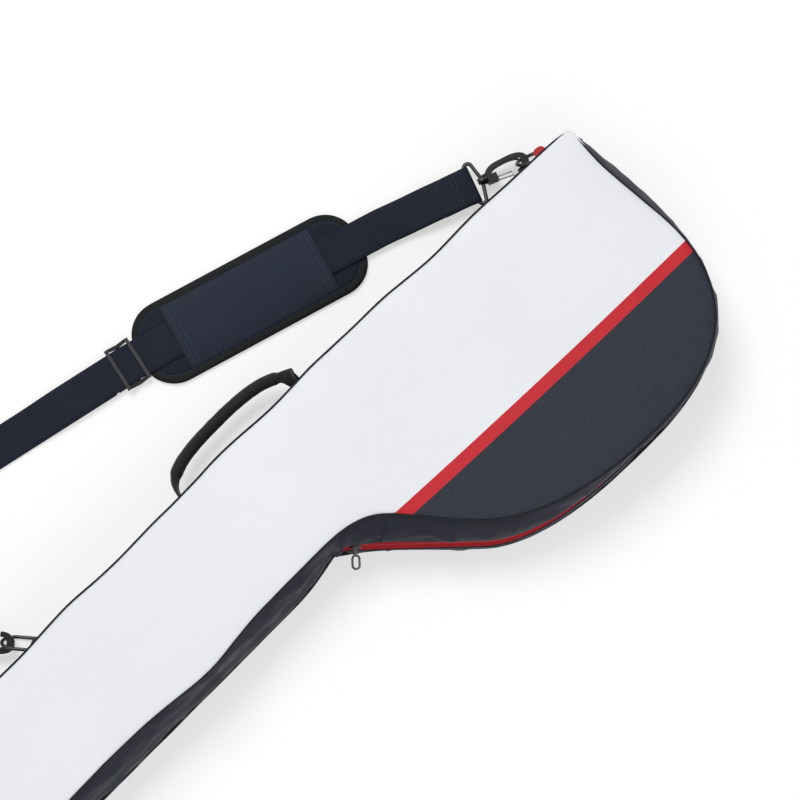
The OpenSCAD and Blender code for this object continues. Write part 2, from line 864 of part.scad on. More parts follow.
// From the upper loop, through the pad, to the diagonal turn at the far end
module shoulder_strap() {
    z = chain_z;
    level_to = 20 + adjuster_travel + 14;
    nip = 0.04;
    color("#232530") {
        on_floor(upper_bar, upper_heading) {
            translate([0, 0, z])
                web_roll(loop_bore);
            web(drape([[-upper_run - 2, web_z], [-upper_run + 12, web_z], [-34, z - 3],
                [-10, z], [0, z + loop_bore]]));
            web(drape([[-36, z - 3.1 - web_t], [-10, z - web_t], [0, z - loop_bore - web_t]]));
        }
        on_floor(pad_at, pad_heading)
            web([[-pad_to_adjuster - 1.5, web_z + nip], [pad_to_bend + 1.5, web_z + nip]],
                web_t - 2 * nip);
        strap_half(tail_heading)
            on_floor(lower_bend, tail_heading + 180)
                web(drape([[-1.5, web_z], [level_to, web_z], [level_to + 60, floor_z + 1.6],
                    [tail_len + web_w, floor_z + 1.6]]));
    }
}

// Keeps what lies before the diagonal turn, on the side that the given heading points to
module strap_half(heading) {
    side = cross(dir(turn_line), dir(heading)) > 0 ? 0 : 180;
    intersection() {
        children();
        on_floor(turn_at, turn_line + side)
            translate([-case_len, 0, -1])
                cube([2 * case_len, 2 * case_len, 2 * case_depth]);
    }
}

// Lower layer, from below the adjuster to the turn
module strap_tail() {
    color("#232530")
        strap_half(tail_heading)
            on_floor(lower_bend, tail_heading + 180)
                web([[34, floor_z], [tail_len + web_w, floor_z]]);
}

// Both layers after the turn, up to and round the lower loop
module strap_return() {
    z = chain_z;
    turn_z = floor_z + 2 * web_t + 0.25;
    roll_len = web_w / abs(sin(turn_line - tail_heading));
    color("#232530") {
        strap_half(lower_heading)
            on_floor(lower_bar, lower_heading) {
                web(drape([[-return_len - web_w, turn_z + 0.15], [-60, turn_z + 0.15],
                    [-12, z - web_t - 0.1], [0, z - loop_bore - web_t]]));
                web(drape([[-return_len - web_w, turn_z + 0.25 + web_t],
                    [-60, turn_z + 0.25 + web_t], [-12, z], [0, z + loop_bore]]));
            }
        on_floor(lower_bar, lower_heading)
            translate([0, 0, z])
                web_roll(loop_bore);
        on_floor(turn_at, turn_line)
            translate([0, 0, turn_z])
                rotate([0, 90, 0])
                    translate([0, 0, -roll_len / 2])
                        linear_extrude(roll_len)
                            turn_section();
    }
}

// Section of the two layers as they roll over at the turn, x down and y across the turn
module turn_section() {
    lap = 0.05;
    for (r = [0.15, 0.15 + web_t + 0.1])
        difference() {
            circle(r = r + web_t);
            circle(r = r);
            translate([-10, -20 - lap])
                square([20, 20]);
        }
}

// ---- shoulder pad ----

pad_base_z = 0.3;
pad_base_t = web_z - gap - pad_base_z;
pad_round = 34;
binding_w = 9;

module pad_outline(inset) {
    r = pad_round - inset;
    x = pad_len / 2 - pad_round;
    y = pad_w / 2 - pad_round;
    for (i = [-x, x], j = [-y, y])
        translate([i, j])
            circle(r = r);
    square([2 * x, 2 * (y + r)], center = true);
    square([2 * (x + r), 2 * y], center = true);
}

module pad_base() {
    color("#1e2024")
        on_floor(pad_at, pad_heading)
            translate([0, 0, pad_base_z])
                linear_extrude(pad_base_t)
                    pad_outline(binding_w);
}

module pad_binding() {
    color("#191b1d")
        on_floor(pad_at, pad_heading)
            translate([0, 0, pad_base_z + 0.4])
                linear_extrude(pad_base_t - 1.2)
                    difference() {
                        pad_outline(0);
                        pad_outline(binding_w);
                    }
}

// Sleeve sewn to the pad along both sides, with a tunnel for the webbing
module pad_sleeve() {
    base = pad_base_z + pad_base_t;
    tunnel_w = web_w / 2 + 1.2;
    roof = web_z + web_t + gap;
    half = sleeve_w / 2;
    crown = roof + 3;
    color("#2d3441")
        on_floor(pad_at, pad_heading)
            rotate([90, 0, 90])
                translate([0, 0, -sleeve_len / 2])
                    linear_extrude(sleeve_len)
                        polygon([[-half, base], [-tunnel_w, base], [-tunnel_w, roof],
                            [tunnel_w, roof], [tunnel_w, base], [half, base],
                            [half, base + 1], [half - 5, crown - 0.8], [tunnel_w - 5, crown],
                            [-tunnel_w + 5, crown], [-half + 5, crown - 0.8], [-half, base + 1]]);
}

// ---- adjuster ----

adj_len = 27;
adj_bar = 3.6;
adj_rail = 3.4;
adj_t = 1.9;
adj_mid_z = 2.7;
adj_top_z = web_z + web_t + gap;
adj_at = lower_bend - dir(tail_heading) * 9;

module adj_frame() {
    on_floor(adj_at, tail_heading + 180) children();
}

// Slide adjuster: the webbing goes under both end bars and over the middle one
module strap_adjuster() {
    inner = web_w / 2 + 0.8;
    half = adj_len / 2;
    color("#4d4f54")
        adj_frame() {
            for (side = [-1, 1])
                translate([0, side * (inner + adj_rail / 2) + adj_rail / 2, 0])
                    rotate([90, 0, 0])
                        linear_extrude(adj_rail)
                            polygon([[-half, adj_top_z], [-half + adj_bar, adj_top_z],
                                [-adj_bar / 2, adj_mid_z], [adj_bar / 2, adj_mid_z],
                                [half - adj_bar, adj_top_z], [half, adj_top_z],
                                [half, adj_top_z + adj_t], [half - adj_bar, adj_top_z + adj_t],
                                [0, adj_mid_z + adj_t + 1.6],
                                [-half + adj_bar, adj_top_z + adj_t], [-half, adj_top_z + adj_t]]);
            for (x = [-half, half - adj_bar])
                translate([x, -inner - adj_rail / 2, adj_top_z])
                    cube([adj_bar, 2 * inner + adj_rail, adj_t]);
            translate([-adj_bar / 2, -inner - adj_rail / 2, adj_mid_z])
                cube([adj_bar, 2 * inner + adj_rail, adj_t]);
        }
}

// End of the webbing, sewn round the adjuster's middle bar
module strap_end() {
    mid = adj_mid_z + adj_t / 2;
    low = floor_z + web_t + 0.2;
    color("#232530")
        adj_frame()
            translate([0, web_w / 2, 0])
                rotate([90, 0, 0])
                    linear_extrude(web_w)
                        difference() {
                            polygon([[-adj_bar / 2 - 1.2, mid - 1.6], [-adj_bar / 2 - 1.2, mid + 1.6],
                                [-adj_bar / 2, mid + 2.3], [adj_bar / 2 + 1, mid + 2.3],
                                [9, low + 2.4], [22, low + 2.4], [22, low], [6, low],
                                [adj_bar / 2, low + 0.1], [-adj_bar / 2, low + 0.1]]);
                            translate([-adj_bar / 2 - 0.1, adj_mid_z - 0.1])
                                square([adj_bar + 0.2, adj_t + 0.2]);
                        }
}

module strap_loop_upper() { at_upper() strap_loop(); }
module strap_loop_lower() { at_lower() strap_loop(); }
module snap_hook_upper() { at_upper() snap_hook(); }
module snap_hook_lower() { at_lower() snap_hook(); }
module hook_gate_upper() { at_upper() hook_gate(); }
module hook_gate_lower() { at_lower() hook_gate(); }
module d_ring_upper() { at_upper() d_ring(-1); }
module d_ring_lower() { at_lower() d_ring(1); }

back_panel();
spine_gusset();
base_gusset();
tube_gusset();
neck_gusset();
head_gusset_lower();
head_gusset_upper();
front_panel();
flap_panel();
accent_stripe();
accent_panel();
front_piping();
flap_piping();
back_piping();
zip_tape_lower();
zip_tape_lead();
zip_tape_upper();
zip_coil_lower();
zip_coil_lead();
zip_coil_upper();
zip_slider();
zip_puller();
zip_end_tab();
handle_grip();
handle_tab_upper();
handle_tab_lower();
handle_anchor_upper();
handle_anchor_lower();
strap_loop_upper();
strap_loop_lower();
snap_hook_upper();
snap_hook_lower();
hook_gate_upper();
hook_gate_lower();
d_ring_upper();
d_ring_lower();
ring_tab_upper();
ring_tab_lower();
shoulder_strap();
strap_tail();
strap_return();
strap_adjuster();
strap_end();
pad_base();
pad_binding();
pad_sleeve();
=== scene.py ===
import math
from contextlib import contextmanager
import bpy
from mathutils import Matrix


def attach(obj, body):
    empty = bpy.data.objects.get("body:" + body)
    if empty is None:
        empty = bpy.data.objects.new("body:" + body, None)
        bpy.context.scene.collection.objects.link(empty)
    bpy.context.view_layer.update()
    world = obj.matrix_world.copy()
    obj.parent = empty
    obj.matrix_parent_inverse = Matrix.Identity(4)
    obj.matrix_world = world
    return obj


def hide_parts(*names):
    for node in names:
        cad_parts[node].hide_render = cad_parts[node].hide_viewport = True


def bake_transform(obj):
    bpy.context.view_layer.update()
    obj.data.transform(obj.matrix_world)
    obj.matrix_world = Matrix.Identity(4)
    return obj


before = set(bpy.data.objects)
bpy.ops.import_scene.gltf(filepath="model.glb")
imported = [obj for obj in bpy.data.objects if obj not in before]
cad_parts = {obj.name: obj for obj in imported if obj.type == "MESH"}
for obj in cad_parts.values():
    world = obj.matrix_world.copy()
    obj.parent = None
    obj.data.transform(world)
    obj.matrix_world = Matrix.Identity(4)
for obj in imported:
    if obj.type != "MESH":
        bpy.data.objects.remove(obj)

from types import SimpleNamespace

import bmesh
import bpy
import numpy as np
from mathutils import Matrix, Vector, noise

bl_info = {
    "name": "Club Carry Case",
    "version": (1, 0, 0),
    "blender": (4, 5, 0),
    "location": "View3D > Sidebar > Case",
    "description": "Builds the fabric, foam, webbing, zip and stitching of a club carry case",
    "category": "Object",
}

# ---- settings ----


def length(name, description, millimetres):
    """A size in the sidebar, given in millimetres."""
    return bpy.props.FloatProperty(
        name=name, description=description, default=millimetres / 1000, min=0, unit="LENGTH"
    )


def colour(name, description, r, g, b):
    """A colour in the sidebar, given as display values from 0 to 255."""
    linear = [(c / 255 / 12.92) if c < 11 else ((c / 255 + 0.055) / 1.055) ** 2.4 for c in (r, g, b)]
    return bpy.props.FloatVectorProperty(
        name=name, description=description, default=linear, size=3, min=0, max=1, subtype="COLOR"
    )


class CaseSizes(bpy.types.PropertyGroup):
    case_len: length("Case length", "Overall length of the case at its widest level", 1275)
    tube_w: length("Tube width", "Width of the tube between its front seams", 128)
    head_w: length("Head width", "Width of the head between its front seams", 274)
    head_len: length("Head length", "From the top down to the notch at the neck", 465)
    case_depth: length("Case depth", "Height from the surface it lies on to the front panel", 90)
    panel_t: length("Panel thickness", "Thickness of the padded front and back panels", 4)
    gusset_t: length("Gusset thickness", "Thickness of the gusset fabric and its lining", 3)
    tube_flare: length("Tube flare", "How far the tube's gusset bulges past the front seam", 16)
    neck_flare: length("Neck flare", "How far the gusset below the head bulges past the front seam", 30)
    piping_d: length("Piping", "Diameter of the piping in the seams", 4)
    stripe_w: length("Stripe width", "Width of the contrast stripe on the head", 12.5)
    zip_band: length("Zip band", "Height of the band between the two gusset edges", 12)
    tooth_pitch: length("Tooth pitch", "Distance between the turns of the zip's coil", 1.8)
    handle_len: length("Handle length", "Length of the handle between its two anchors", 162)
    handle_reach: length("Handle reach", "How far the handle stands out from the spine", 39)
    grip_d: length("Grip diameter", "Diameter of the wrapped grip", 13)
    web_w: length("Webbing width", "Width of the strap webbing", 38)
    web_t: length("Webbing thickness", "Thickness of the strap webbing", 1.5)
    pad_len: length("Pad length", "Length of the shoulder pad", 248)
    pad_w: length("Pad width", "Width of the shoulder pad", 86)
    sleeve_w: length("Sleeve width", "Width of the sleeve over the webbing", 62)
    sleeve_len: length("Sleeve length", "Length of the sleeve over the webbing", 166)
    binding_w: length("Binding width", "Width of the tape round the pad's edge", 9)
    ring_wire: length("Ring wire", "Wire diameter of the D-rings", 3.5)
    ring_in_w: length("Ring width", "Clear width inside a D-ring", 25)
    loop_wire: length("Loop wire", "Wire diameter of the strap loops", 4)
    stitch: length("Stitch length", "Length of one stitch", 2.4)


class CaseColours(bpy.types.PropertyGroup):
    shell: colour("Shell", "Pale front of the case", 231, 233, 237)
    accent: colour("Accent", "Dark panel on the head", 43, 46, 55)
    gusset: colour("Gusset", "Side walls and back", 34, 36, 46)
    stripe: colour("Stripe", "Contrast stripe and zip", 194, 44, 52)
    piping: colour("Piping", "Cord in the seams", 22, 23, 28)
    webbing: colour("Webbing", "Shoulder strap", 17, 21, 35)
    sleeve: colour("Sleeve", "Cover of the shoulder pad", 32, 38, 50)
    binding: colour("Binding", "Tape round the shoulder pad", 16, 17, 20)
    handle: colour("Handle", "Wrapped grip and its ends", 31, 31, 33)
    lining: colour("Lining", "Inside of the case", 40, 41, 46)


def sizes():
    """The sizes in millimetres, with the levels and places that follow from them."""
    group = bpy.context.scene.case_sizes
    s = SimpleNamespace(**{k: getattr(group, k) * 1000 for k in CaseSizes.__annotations__})
    s.seam_z = s.case_depth - s.panel_t
    s.zip_z = s.case_depth / 2 + 0.5
    s.band_lo, s.band_hi = s.zip_z - s.zip_band / 2, s.zip_z + s.zip_band / 2
    s.spine_x, s.tube_x = -s.tube_w / 2, s.tube_w / 2
    s.bulge_x = s.spine_x + s.head_w
    s.top_y, s.low_y = s.case_len / 2, -s.case_len / 2
    s.notch_y = s.top_y - s.head_len
    return s


def hue(name):
    """A colour from the sidebar, as linear values."""
    return tuple(getattr(bpy.context.scene.case_colours, name))


# ---- curves and numbers ----


def heading(a):
    """Unit vector in plan, at a degrees from x."""
    return np.array([math.cos(math.radians(a)), math.sin(math.radians(a))])


def mix(a, b, t):
    """From a at 0 to b at 1."""
    return a * (1 - t) + b * t


def smooth(t):
    """From 0 to 1, level at both ends."""
    t = np.clip(t, 0, 1)
    return t * t * (3 - 2 * t)


def hump(x, middle, wide):
    """A soft bump, 1 at the middle."""
    return np.exp(-(((x - middle) / wide) ** 2))


def bezier(p, q, r, s, t):
    """Points on the curve from p to s that is drawn towards q and r, at fractions t."""
    t = np.asarray(t, float)[..., None]
    return p * (1 - t) ** 3 + 3 * q * t * (1 - t) ** 2 + 3 * r * t * t * (1 - t) + s * t**3


def lifted(plan, z):
    """Plan points with their heights."""
    return np.concatenate([plan, np.broadcast_to(np.asarray(z, float), plan.shape[:-1])[..., None]], -1)


def ripple(x, y, z):
    """A smooth random value from -1 to 1."""
    return noise.noise(Vector((x, y, z)))


def wander(points, scale, seed):
    """Smooth random values from -1 to 1 at the points, scale millimetres from bump to bump."""
    places = np.asarray(points, float) / scale
    if places.shape[1] == 2:
        places = lifted(places, 0)
    return np.array([ripple(x, y, seed + z) for x, y, z in places])


def spans(points):
    """Distance run along a line of points, at each of them."""
    return np.concatenate([[0], np.cumsum(np.linalg.norm(np.diff(points, axis=0), axis=1))])


def along(points, t):
    """Points at fractions t of a line's length."""
    run = spans(points)
    return np.stack([np.interp(np.asarray(t) * run[-1], run, axis) for axis in points.T], -1)


def graded(n, squeeze):
    """Fractions from 0 to 1, closer together at both ends."""
    t = np.linspace(0, 1, n + 1)
    return t - squeeze * np.sin(2 * np.pi * t) / (2 * np.pi)


# ---- plan of the case ----

# columns count round the plan, from the foot up the tube, over the head and down the spine
ZIP, FLAP, CORNER, SPINE_END, COLUMNS = 12, 17, 47, 54, 60
FOOT = 2.5
# how far the wall stands out past the front seam at the top, the foot and the head's side
TOP_FLARE, END_FLARE, BULGE_FLARE, CORNER_R = 11, 6, 2, 20
# levels of the wall run from 0 at the front seam to 1 at the widest: at the back seam, at the zip's
# upper edge, and where the wall is no longer slack
BACK_K, HIGH_K, SLACK_K = 0.8, 0.78, 0.7


def spine_places(s):
    """The three places that the spine seam runs through, from the top down."""
    return (
        (s.spine_x + 10, s.top_y - TOP_FLARE - 18),
        (s.spine_x - 1, s.notch_y + 118),
        (s.spine_x, s.low_y + END_FLARE + CORNER_R),
    )


def stations(s, k):
    """Corners of the plan at level k: place, heading in, reach in, heading out, reach out, columns on."""
    top, waist, foot = spine_places(s)
    tube_x, foot_y = s.tube_x + k * s.tube_flare, s.low_y + END_FLARE * (1 - k)
    neck = (s.tube_x + 30 + k * 0.6 * s.neck_flare, s.notch_y + 69 - k * 0.81 * s.neck_flare)
    slope, rise = mix(41, 46.7, k), mix(50, 46.7, k)
    return [
        ((tube_x - CORNER_R, foot_y), 0, 0, 0, 11, 5),
        ((tube_x, foot[1]), 90, 11, 90, 200, 3),
        ((tube_x, s.notch_y - 62), 90, 200, 90, 24, 3),
        ((s.tube_x + k * 6, s.notch_y), 90 + k * 12, 18, 88 - k * 41.3, mix(44, 20, k), 8),
        (neck, slope, 20, slope, 26, 4),
        ((s.bulge_x - 50 + k * 10, s.notch_y + 127.5 - k * 22), rise, 26, rise, 60, 8),
        ((s.bulge_x + k * BULGE_FLARE, s.top_y - 162), 90, 62, 90, 64, 7),
        ((s.bulge_x - 62 + k * 7, s.top_y - TOP_FLARE - 18 + k * 6), 152, 50, 152, 28, 5),
        ((mix(s.bulge_x, s.spine_x, 0.55), s.top_y - TOP_FLARE * (1 - k)), 180, 34, 180, 32, 4),
        ((s.spine_x + 22 + k * 4, s.top_y - TOP_FLARE - 5 + k * 10), 187, 30, 190 + k * 12, 9, 5),
        (top, 268, 8, 268, 60, 1),
        (waist, 268, 60, 268, 60, 1),
        (foot, 270, 11, 270, 11, 5),
        ((s.spine_x + CORNER_R, foot_y), 0, 11, 0, 20, 1),
    ]


class Outline:
    """The case's plan at one level, read at any column."""

    def __init__(self, s, k):
        rows = stations(s, k)
        self.slack = max(0.0, 1 - k / SLACK_K)
        self.spans, start = [], 0
        for a, b in zip(rows, rows[1:] + rows[:1]):
            p, q = np.array(a[0], float), np.array(b[0], float)
            self.spans.append((start, a[5], p, p + a[4] * heading(a[3]), q - b[2] * heading(b[1]), q))
            start += a[5]

    def at(self, c):
        c = np.mod(np.asarray(c, float), COLUMNS)
        out = np.zeros(c.shape + (2,))
        for start, steps, p, q, r, end in self.spans:
            here = (c >= start) & (c < start + steps)
            out[here] = bezier(p, q, r, end, (c[here] - start) / steps)
        # the front seam is drawn in beside the top corner
        drawn = 45.2
        out[..., 1] -= 6.5 * self.slack * hump(c, drawn, np.where(c < drawn, 3.4, 1.5))
        # it sags out over the tube's gusset and wavers along the spine
        x, y = out[..., 0].copy(), out[..., 1]
        sag = 6.5 * hump(y, 10, 46) - 2 * hump(y, -120, 60) + 3 * hump(y, -330, 80)
        waver = 1.1 * np.sin(y / 31) + 0.7 * np.sin(y / 17 + 1)
        side = np.where(x > 0, smooth(x / 50) * sag, smooth(-x / 50) * waver)
        out[..., 0] += self.slack * side * smooth((y + 600) / 60)
        return out

    def out(self, c):
        """Unit vectors pointing out of the plan."""
        c = np.asarray(c, float)
        d = self.at(c + 0.12) - self.at(c - 0.12)
        return np.stack([d[..., 1], -d[..., 0]], -1) / np.linalg.norm(d, axis=-1, keepdims=True)


def columns(s, start, end, pitch):
    """Columns from start to end that lie pitch apart on the widest level."""
    fine = np.linspace(start, end, 3000)
    run = spans(Outline(s, 1).at(fine))
    return np.interp(np.linspace(0, run[-1], max(2, round(run[-1] / pitch))), run, fine)


def bulge(s, z):
    """How far out the wall stands at height z, from 0 at the front seam to 1 at the widest level."""
    if z >= s.band_hi:
        return HIGH_K * (1 - ((z - s.band_hi) / (s.seam_z - s.band_hi)) ** 1.9)
    if z <= s.band_lo:
        return 1 - (1 - BACK_K) * ((s.band_lo - z) / (s.band_lo - s.panel_t)) ** 1.85
    return mix(1, HIGH_K, (z - s.band_lo) / s.zip_band)


def on_wall(s, c, z, out=0.0):
    """Places on the wall at columns c and height z, moved out a little."""
    line = Outline(s, bulge(s, z))
    return lifted(line.at(c) + out * line.out(c), z)


def spine_edge(s, y):
    """x of the spine seam at height y of the case."""
    x, height = zip(*spine_places(s)[::-1])
    return np.interp(y, height, x)


def stripe_edge(s, side, n=40):
    """Edge of the contrast stripe, side -1 or 1, from below the neck seam to above the crown."""
    t = np.linspace(0, 1, n + 1)[:, None]
    bow = 2.5
    line = mix(np.array([s.tube_x + 31, s.notch_y + 50]), np.array([s.tube_x + 46, s.top_y + 20]), t)
    return line + np.hstack([bow * 4 * t * (1 - t) + side * s.stripe_w / 2, 0 * t])


# ---- meshes ----


@contextmanager
def reworked(mesh):
    """The mesh open for editing, written back at the end."""
    bm = bmesh.new()
    bm.from_mesh(mesh)
    yield bm
    bm.to_mesh(mesh)
    bm.free()


def linked(name, data):
    """A new object in the scene."""
    obj = bpy.data.objects.new(name, data)
    bpy.context.collection.objects.link(obj)
    return obj


def points_of(mesh):
    """Places of the mesh's vertices, one row each, in metres."""
    co = np.zeros(len(mesh.vertices) * 3)
    mesh.vertices.foreach_get("co", co)
    return co.reshape(-1, 3)


def make(name, verts, faces, finishes, marks=None, uv=None):
    """A mesh object from millimetres, its faces turned outward and smooth."""
    mesh = bpy.data.meshes.new(name)
    faces = [tuple(int(i) for i in f) for f in faces]
    mesh.from_pydata((np.asarray(verts, float) / 1000).tolist(), [], faces)
    for finish in finishes:
        mesh.materials.append(finish_of(finish))
    if marks is not None:
        mesh.polygons.foreach_set("material_index", np.asarray(marks, np.int32))
    layer = mesh.uv_layers.new(name="UVMap")
    loops = np.zeros(len(mesh.loops), np.int32)
    mesh.loops.foreach_get("vertex_index", loops)
    flat = np.asarray(uv if uv is not None else np.asarray(verts)[:, :2], float) / 1000
    layer.data.foreach_set("uv", flat[loops].ravel())
    with reworked(mesh) as bm:
        bmesh.ops.remove_doubles(bm, verts=bm.verts, dist=1e-6)
        bmesh.ops.recalc_face_normals(bm, faces=bm.faces)
    mesh.polygons.foreach_set("use_smooth", np.ones(len(mesh.polygons), bool))
    mesh.set_sharp_from_angle(angle=math.radians(72))
    return linked(name, mesh)


def shell(outer, inner):
    """Faces and marks of a closed skin between two grids of points; the inner side is marked 1."""
    n, m = outer.shape[:2]
    base, faces, marks = n * m, [], []
    for i in range(n - 1):
        a, b = i * m, (i + 1) * m
        for j in range(m - 1):
            faces.append((a + j, b + j, b + j + 1, a + j + 1))
            faces.append((base + a + j, base + a + j + 1, base + b + j + 1, base + b + j))
            marks += [0, 1]
        for j in (0, m - 1):
            faces.append((a + j, b + j, base + b + j, base + a + j))
            marks.append(0)
    for a in (0, (n - 1) * m):
        for j in range(m - 1):
            faces.append((a + j, a + j + 1, base + a + j + 1, base + a + j))
            marks.append(0)
    return np.concatenate([outer.reshape(-1, 3), inner.reshape(-1, 3)]), faces, marks


def bands(n, m, closed=False):
    """Faces between n rings of m points each."""
    return [
        (i * m + j, i * m + (j + 1) % m, (i + 1) % n * m + (j + 1) % m, (i + 1) % n * m + j)
        for i in range(n if closed else n - 1)
        for j in range(m)
    ]


def loft(rings, closed=False):
    """Vertices and faces of a solid through closed rings of equal count, capped with strips."""
    n, m = len(rings), len(rings[0])
    faces = bands(n, m, closed)
    if not closed:
        for a in (0, (n - 1) * m):
            faces += [(a + j, a + j + 1, a + m - 2 - j, a + m - 1 - j) for j in range(m // 2 - 1)]
    return np.concatenate([np.asarray(r, float) for r in rings]), faces


def sweep(path, side, ring, closed=False):
    """Rings of points along a path; ring(i) gives rows of [to the side, up], and side holds vectors."""
    ahead = np.roll(path, -1, 0) - np.roll(path, 1, 0) if closed else np.gradient(path, axis=0)
    ahead /= np.linalg.norm(ahead, axis=1, keepdims=True)
    side = side - ahead * np.sum(side * ahead, 1, keepdims=True)
    side /= np.linalg.norm(side, axis=1, keepdims=True)
    up = np.cross(ahead, side)
    return [path[i] + ring(i)[:, :1] * side[i] + ring(i)[:, 1:] * up[i] for i in range(len(path))]


def round_ring(width, height, n=12, power=2.0):
    """A closed ring, round at power 2 and squarer above it."""
    a = np.radians(np.arange(n) * 360 / n + 180 / n)
    x, y = (np.sign(v) * np.abs(v) ** (2 / power) / 2 for v in (np.cos(a), np.sin(a)))
    return np.stack([x * width, y * height], 1)


def web_ring(width, thick, n=10):
    """Section of webbing: two flat sides and rounded edges."""
    y = np.linspace(-width / 2 + 0.5, width / 2 - 0.5, n)
    top = np.stack([y, np.full(n, thick / 2)], 1)
    edge = np.array([[width / 2, thick * 0.22], [width / 2, -thick * 0.22]])
    return np.concatenate([top, edge, top[::-1] * [1, -1], edge[::-1] * [-1, 1]])


def swept(name, path, side, ring, finish, closed=False, place=None, girth=0.0):
    """An object swept along a path and put in its place; its UV runs across and along, or round by girth."""
    rings = sweep(path, side, ring, closed)
    verts, faces = loft(rings, closed)
    uv = []
    for i, run in enumerate(spans(path)):
        across = np.arange(len(rings[i])) * girth if girth else ring(i)[:, 0]
        uv.append(np.stack([across, np.full(len(across), run)], 1))
    return make(name, place(verts) if place else verts, faces, [finish], uv=np.concatenate(uv))


def distance(points, line):
    """Distance from each plan point to a line of plan points."""
    a, d = line[:-1], np.diff(line, axis=0)
    size = np.maximum(np.sum(d * d, 1), 1e-9)
    best, batch = np.zeros(len(points)), 4000
    for start in range(0, len(points), batch):
        p = points[start : start + batch, None]
        t = np.clip(np.sum((p - a) * d, 2) / size, 0, 1)
        best[start : start + batch] = np.linalg.norm(p - a - t[..., None] * d, axis=2).min(1)
    return best


def patch(bottom, top, left, right, us, vs):
    """Grid of plan points that fills a region, from its four edges."""
    u, v = np.meshgrid(us, vs, indexing="ij")
    u, v = u[..., None], v[..., None]
    c0, c1 = along(bottom, us)[:, None], along(top, us)[:, None]
    d0, d1 = along(left, vs)[None], along(right, vs)[None]
    corners = (1 - u) * (1 - v) * bottom[0] + u * (1 - v) * bottom[-1]
    corners = corners + (1 - u) * v * top[0] + u * v * top[-1]
    return (1 - v) * c0 + v * c1 + (1 - u) * d0 + u * d1 - corners


def crossing(line, edge):
    """Index into line, and place, where it first crosses edge."""
    for i in range(len(line) - 1):
        p, d = line[i], line[i + 1] - line[i]
        for j in range(len(edge) - 1):
            q, e = edge[j], edge[j + 1] - edge[j]
            k = d[0] * e[1] - d[1] * e[0]
            if abs(k) < 1e-12:
                continue
            t = ((q - p)[0] * e[1] - (q - p)[1] * e[0]) / k
            w = ((q - p)[0] * d[1] - (q - p)[1] * d[0]) / k
            if 0 <= t <= 1 and 0 <= w <= 1:
                return i, p + t * d
    raise RuntimeError("the stripe doesn't reach the seam")


def soft_copy(node, name, finish, turn, round_off=0.35):
    """A fabric piece in a CAD solid's own shape, its edges rounded and its UV laid along a heading."""
    bm = bmesh.new()
    bm.from_mesh(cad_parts[node].data)
    bmesh.ops.remove_doubles(bm, verts=bm.verts, dist=2e-6)
    bmesh.ops.dissolve_limit(bm, angle_limit=math.radians(2), verts=bm.verts, edges=bm.edges)
    sharp = [e for e in bm.edges if len(e.link_faces) == 2 and e.calc_face_angle(0) > math.radians(35)]
    rounding = {"offset": round_off / 1000, "segments": 2, "profile": 0.6, "clamp_overlap": True}
    bmesh.ops.bevel(bm, geom=sharp, affect="EDGES", **rounding)
    bmesh.ops.recalc_face_normals(bm, faces=bm.faces)
    mesh = bpy.data.meshes.new(name)
    layer = bm.loops.layers.uv.new("UVMap")
    c, s = heading(turn)
    for f in bm.faces:
        for loop in f.loops:
            p = loop.vert.co
            run, across = p.x * c + p.y * s, p.y * c - p.x * s
            loop[layer].uv = (across, run) if abs(f.normal.z) > 0.7 else (p.z, run)
        f.smooth = True
    bm.to_mesh(mesh)
    bm.free()
    mesh.materials.append(finish_of(finish))
    return linked(name, mesh)


def cut(obj, point, normal):
    """Cuts away what lies beyond a plane, and closes the piece again."""
    with reworked(obj.data) as bm:
        every = bm.verts[:] + bm.edges[:] + bm.faces[:]
        bmesh.ops.bisect_plane(bm, geom=every, plane_co=point, plane_no=normal, clear_outer=True)
        bmesh.ops.holes_fill(bm, edges=[e for e in bm.edges if e.is_boundary])
        bmesh.ops.recalc_face_normals(bm, faces=bm.faces)


def settle(obj, body, slot, *nodes):
    """The piece stands for those CAD nodes and rides on their body."""
    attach(obj, body)
    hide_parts(*nodes)


# ---- materials ----


def feed(tree, socket, value):
    """Links an output to the socket, or sets the socket's own value."""
    if hasattr(value, "is_output"):
        tree.links.new(value, socket)
    else:
        socket.default_value = value


def wired(tree, kind, inputs=(), **props):
    """A new node in the tree, its properties set and its inputs fed."""
    node = tree.nodes.new(kind)
    for k, v in props.items():
        setattr(node, k, v)
    for k, v in dict(inputs).items():
        feed(tree, node.inputs[k], v)
    return node


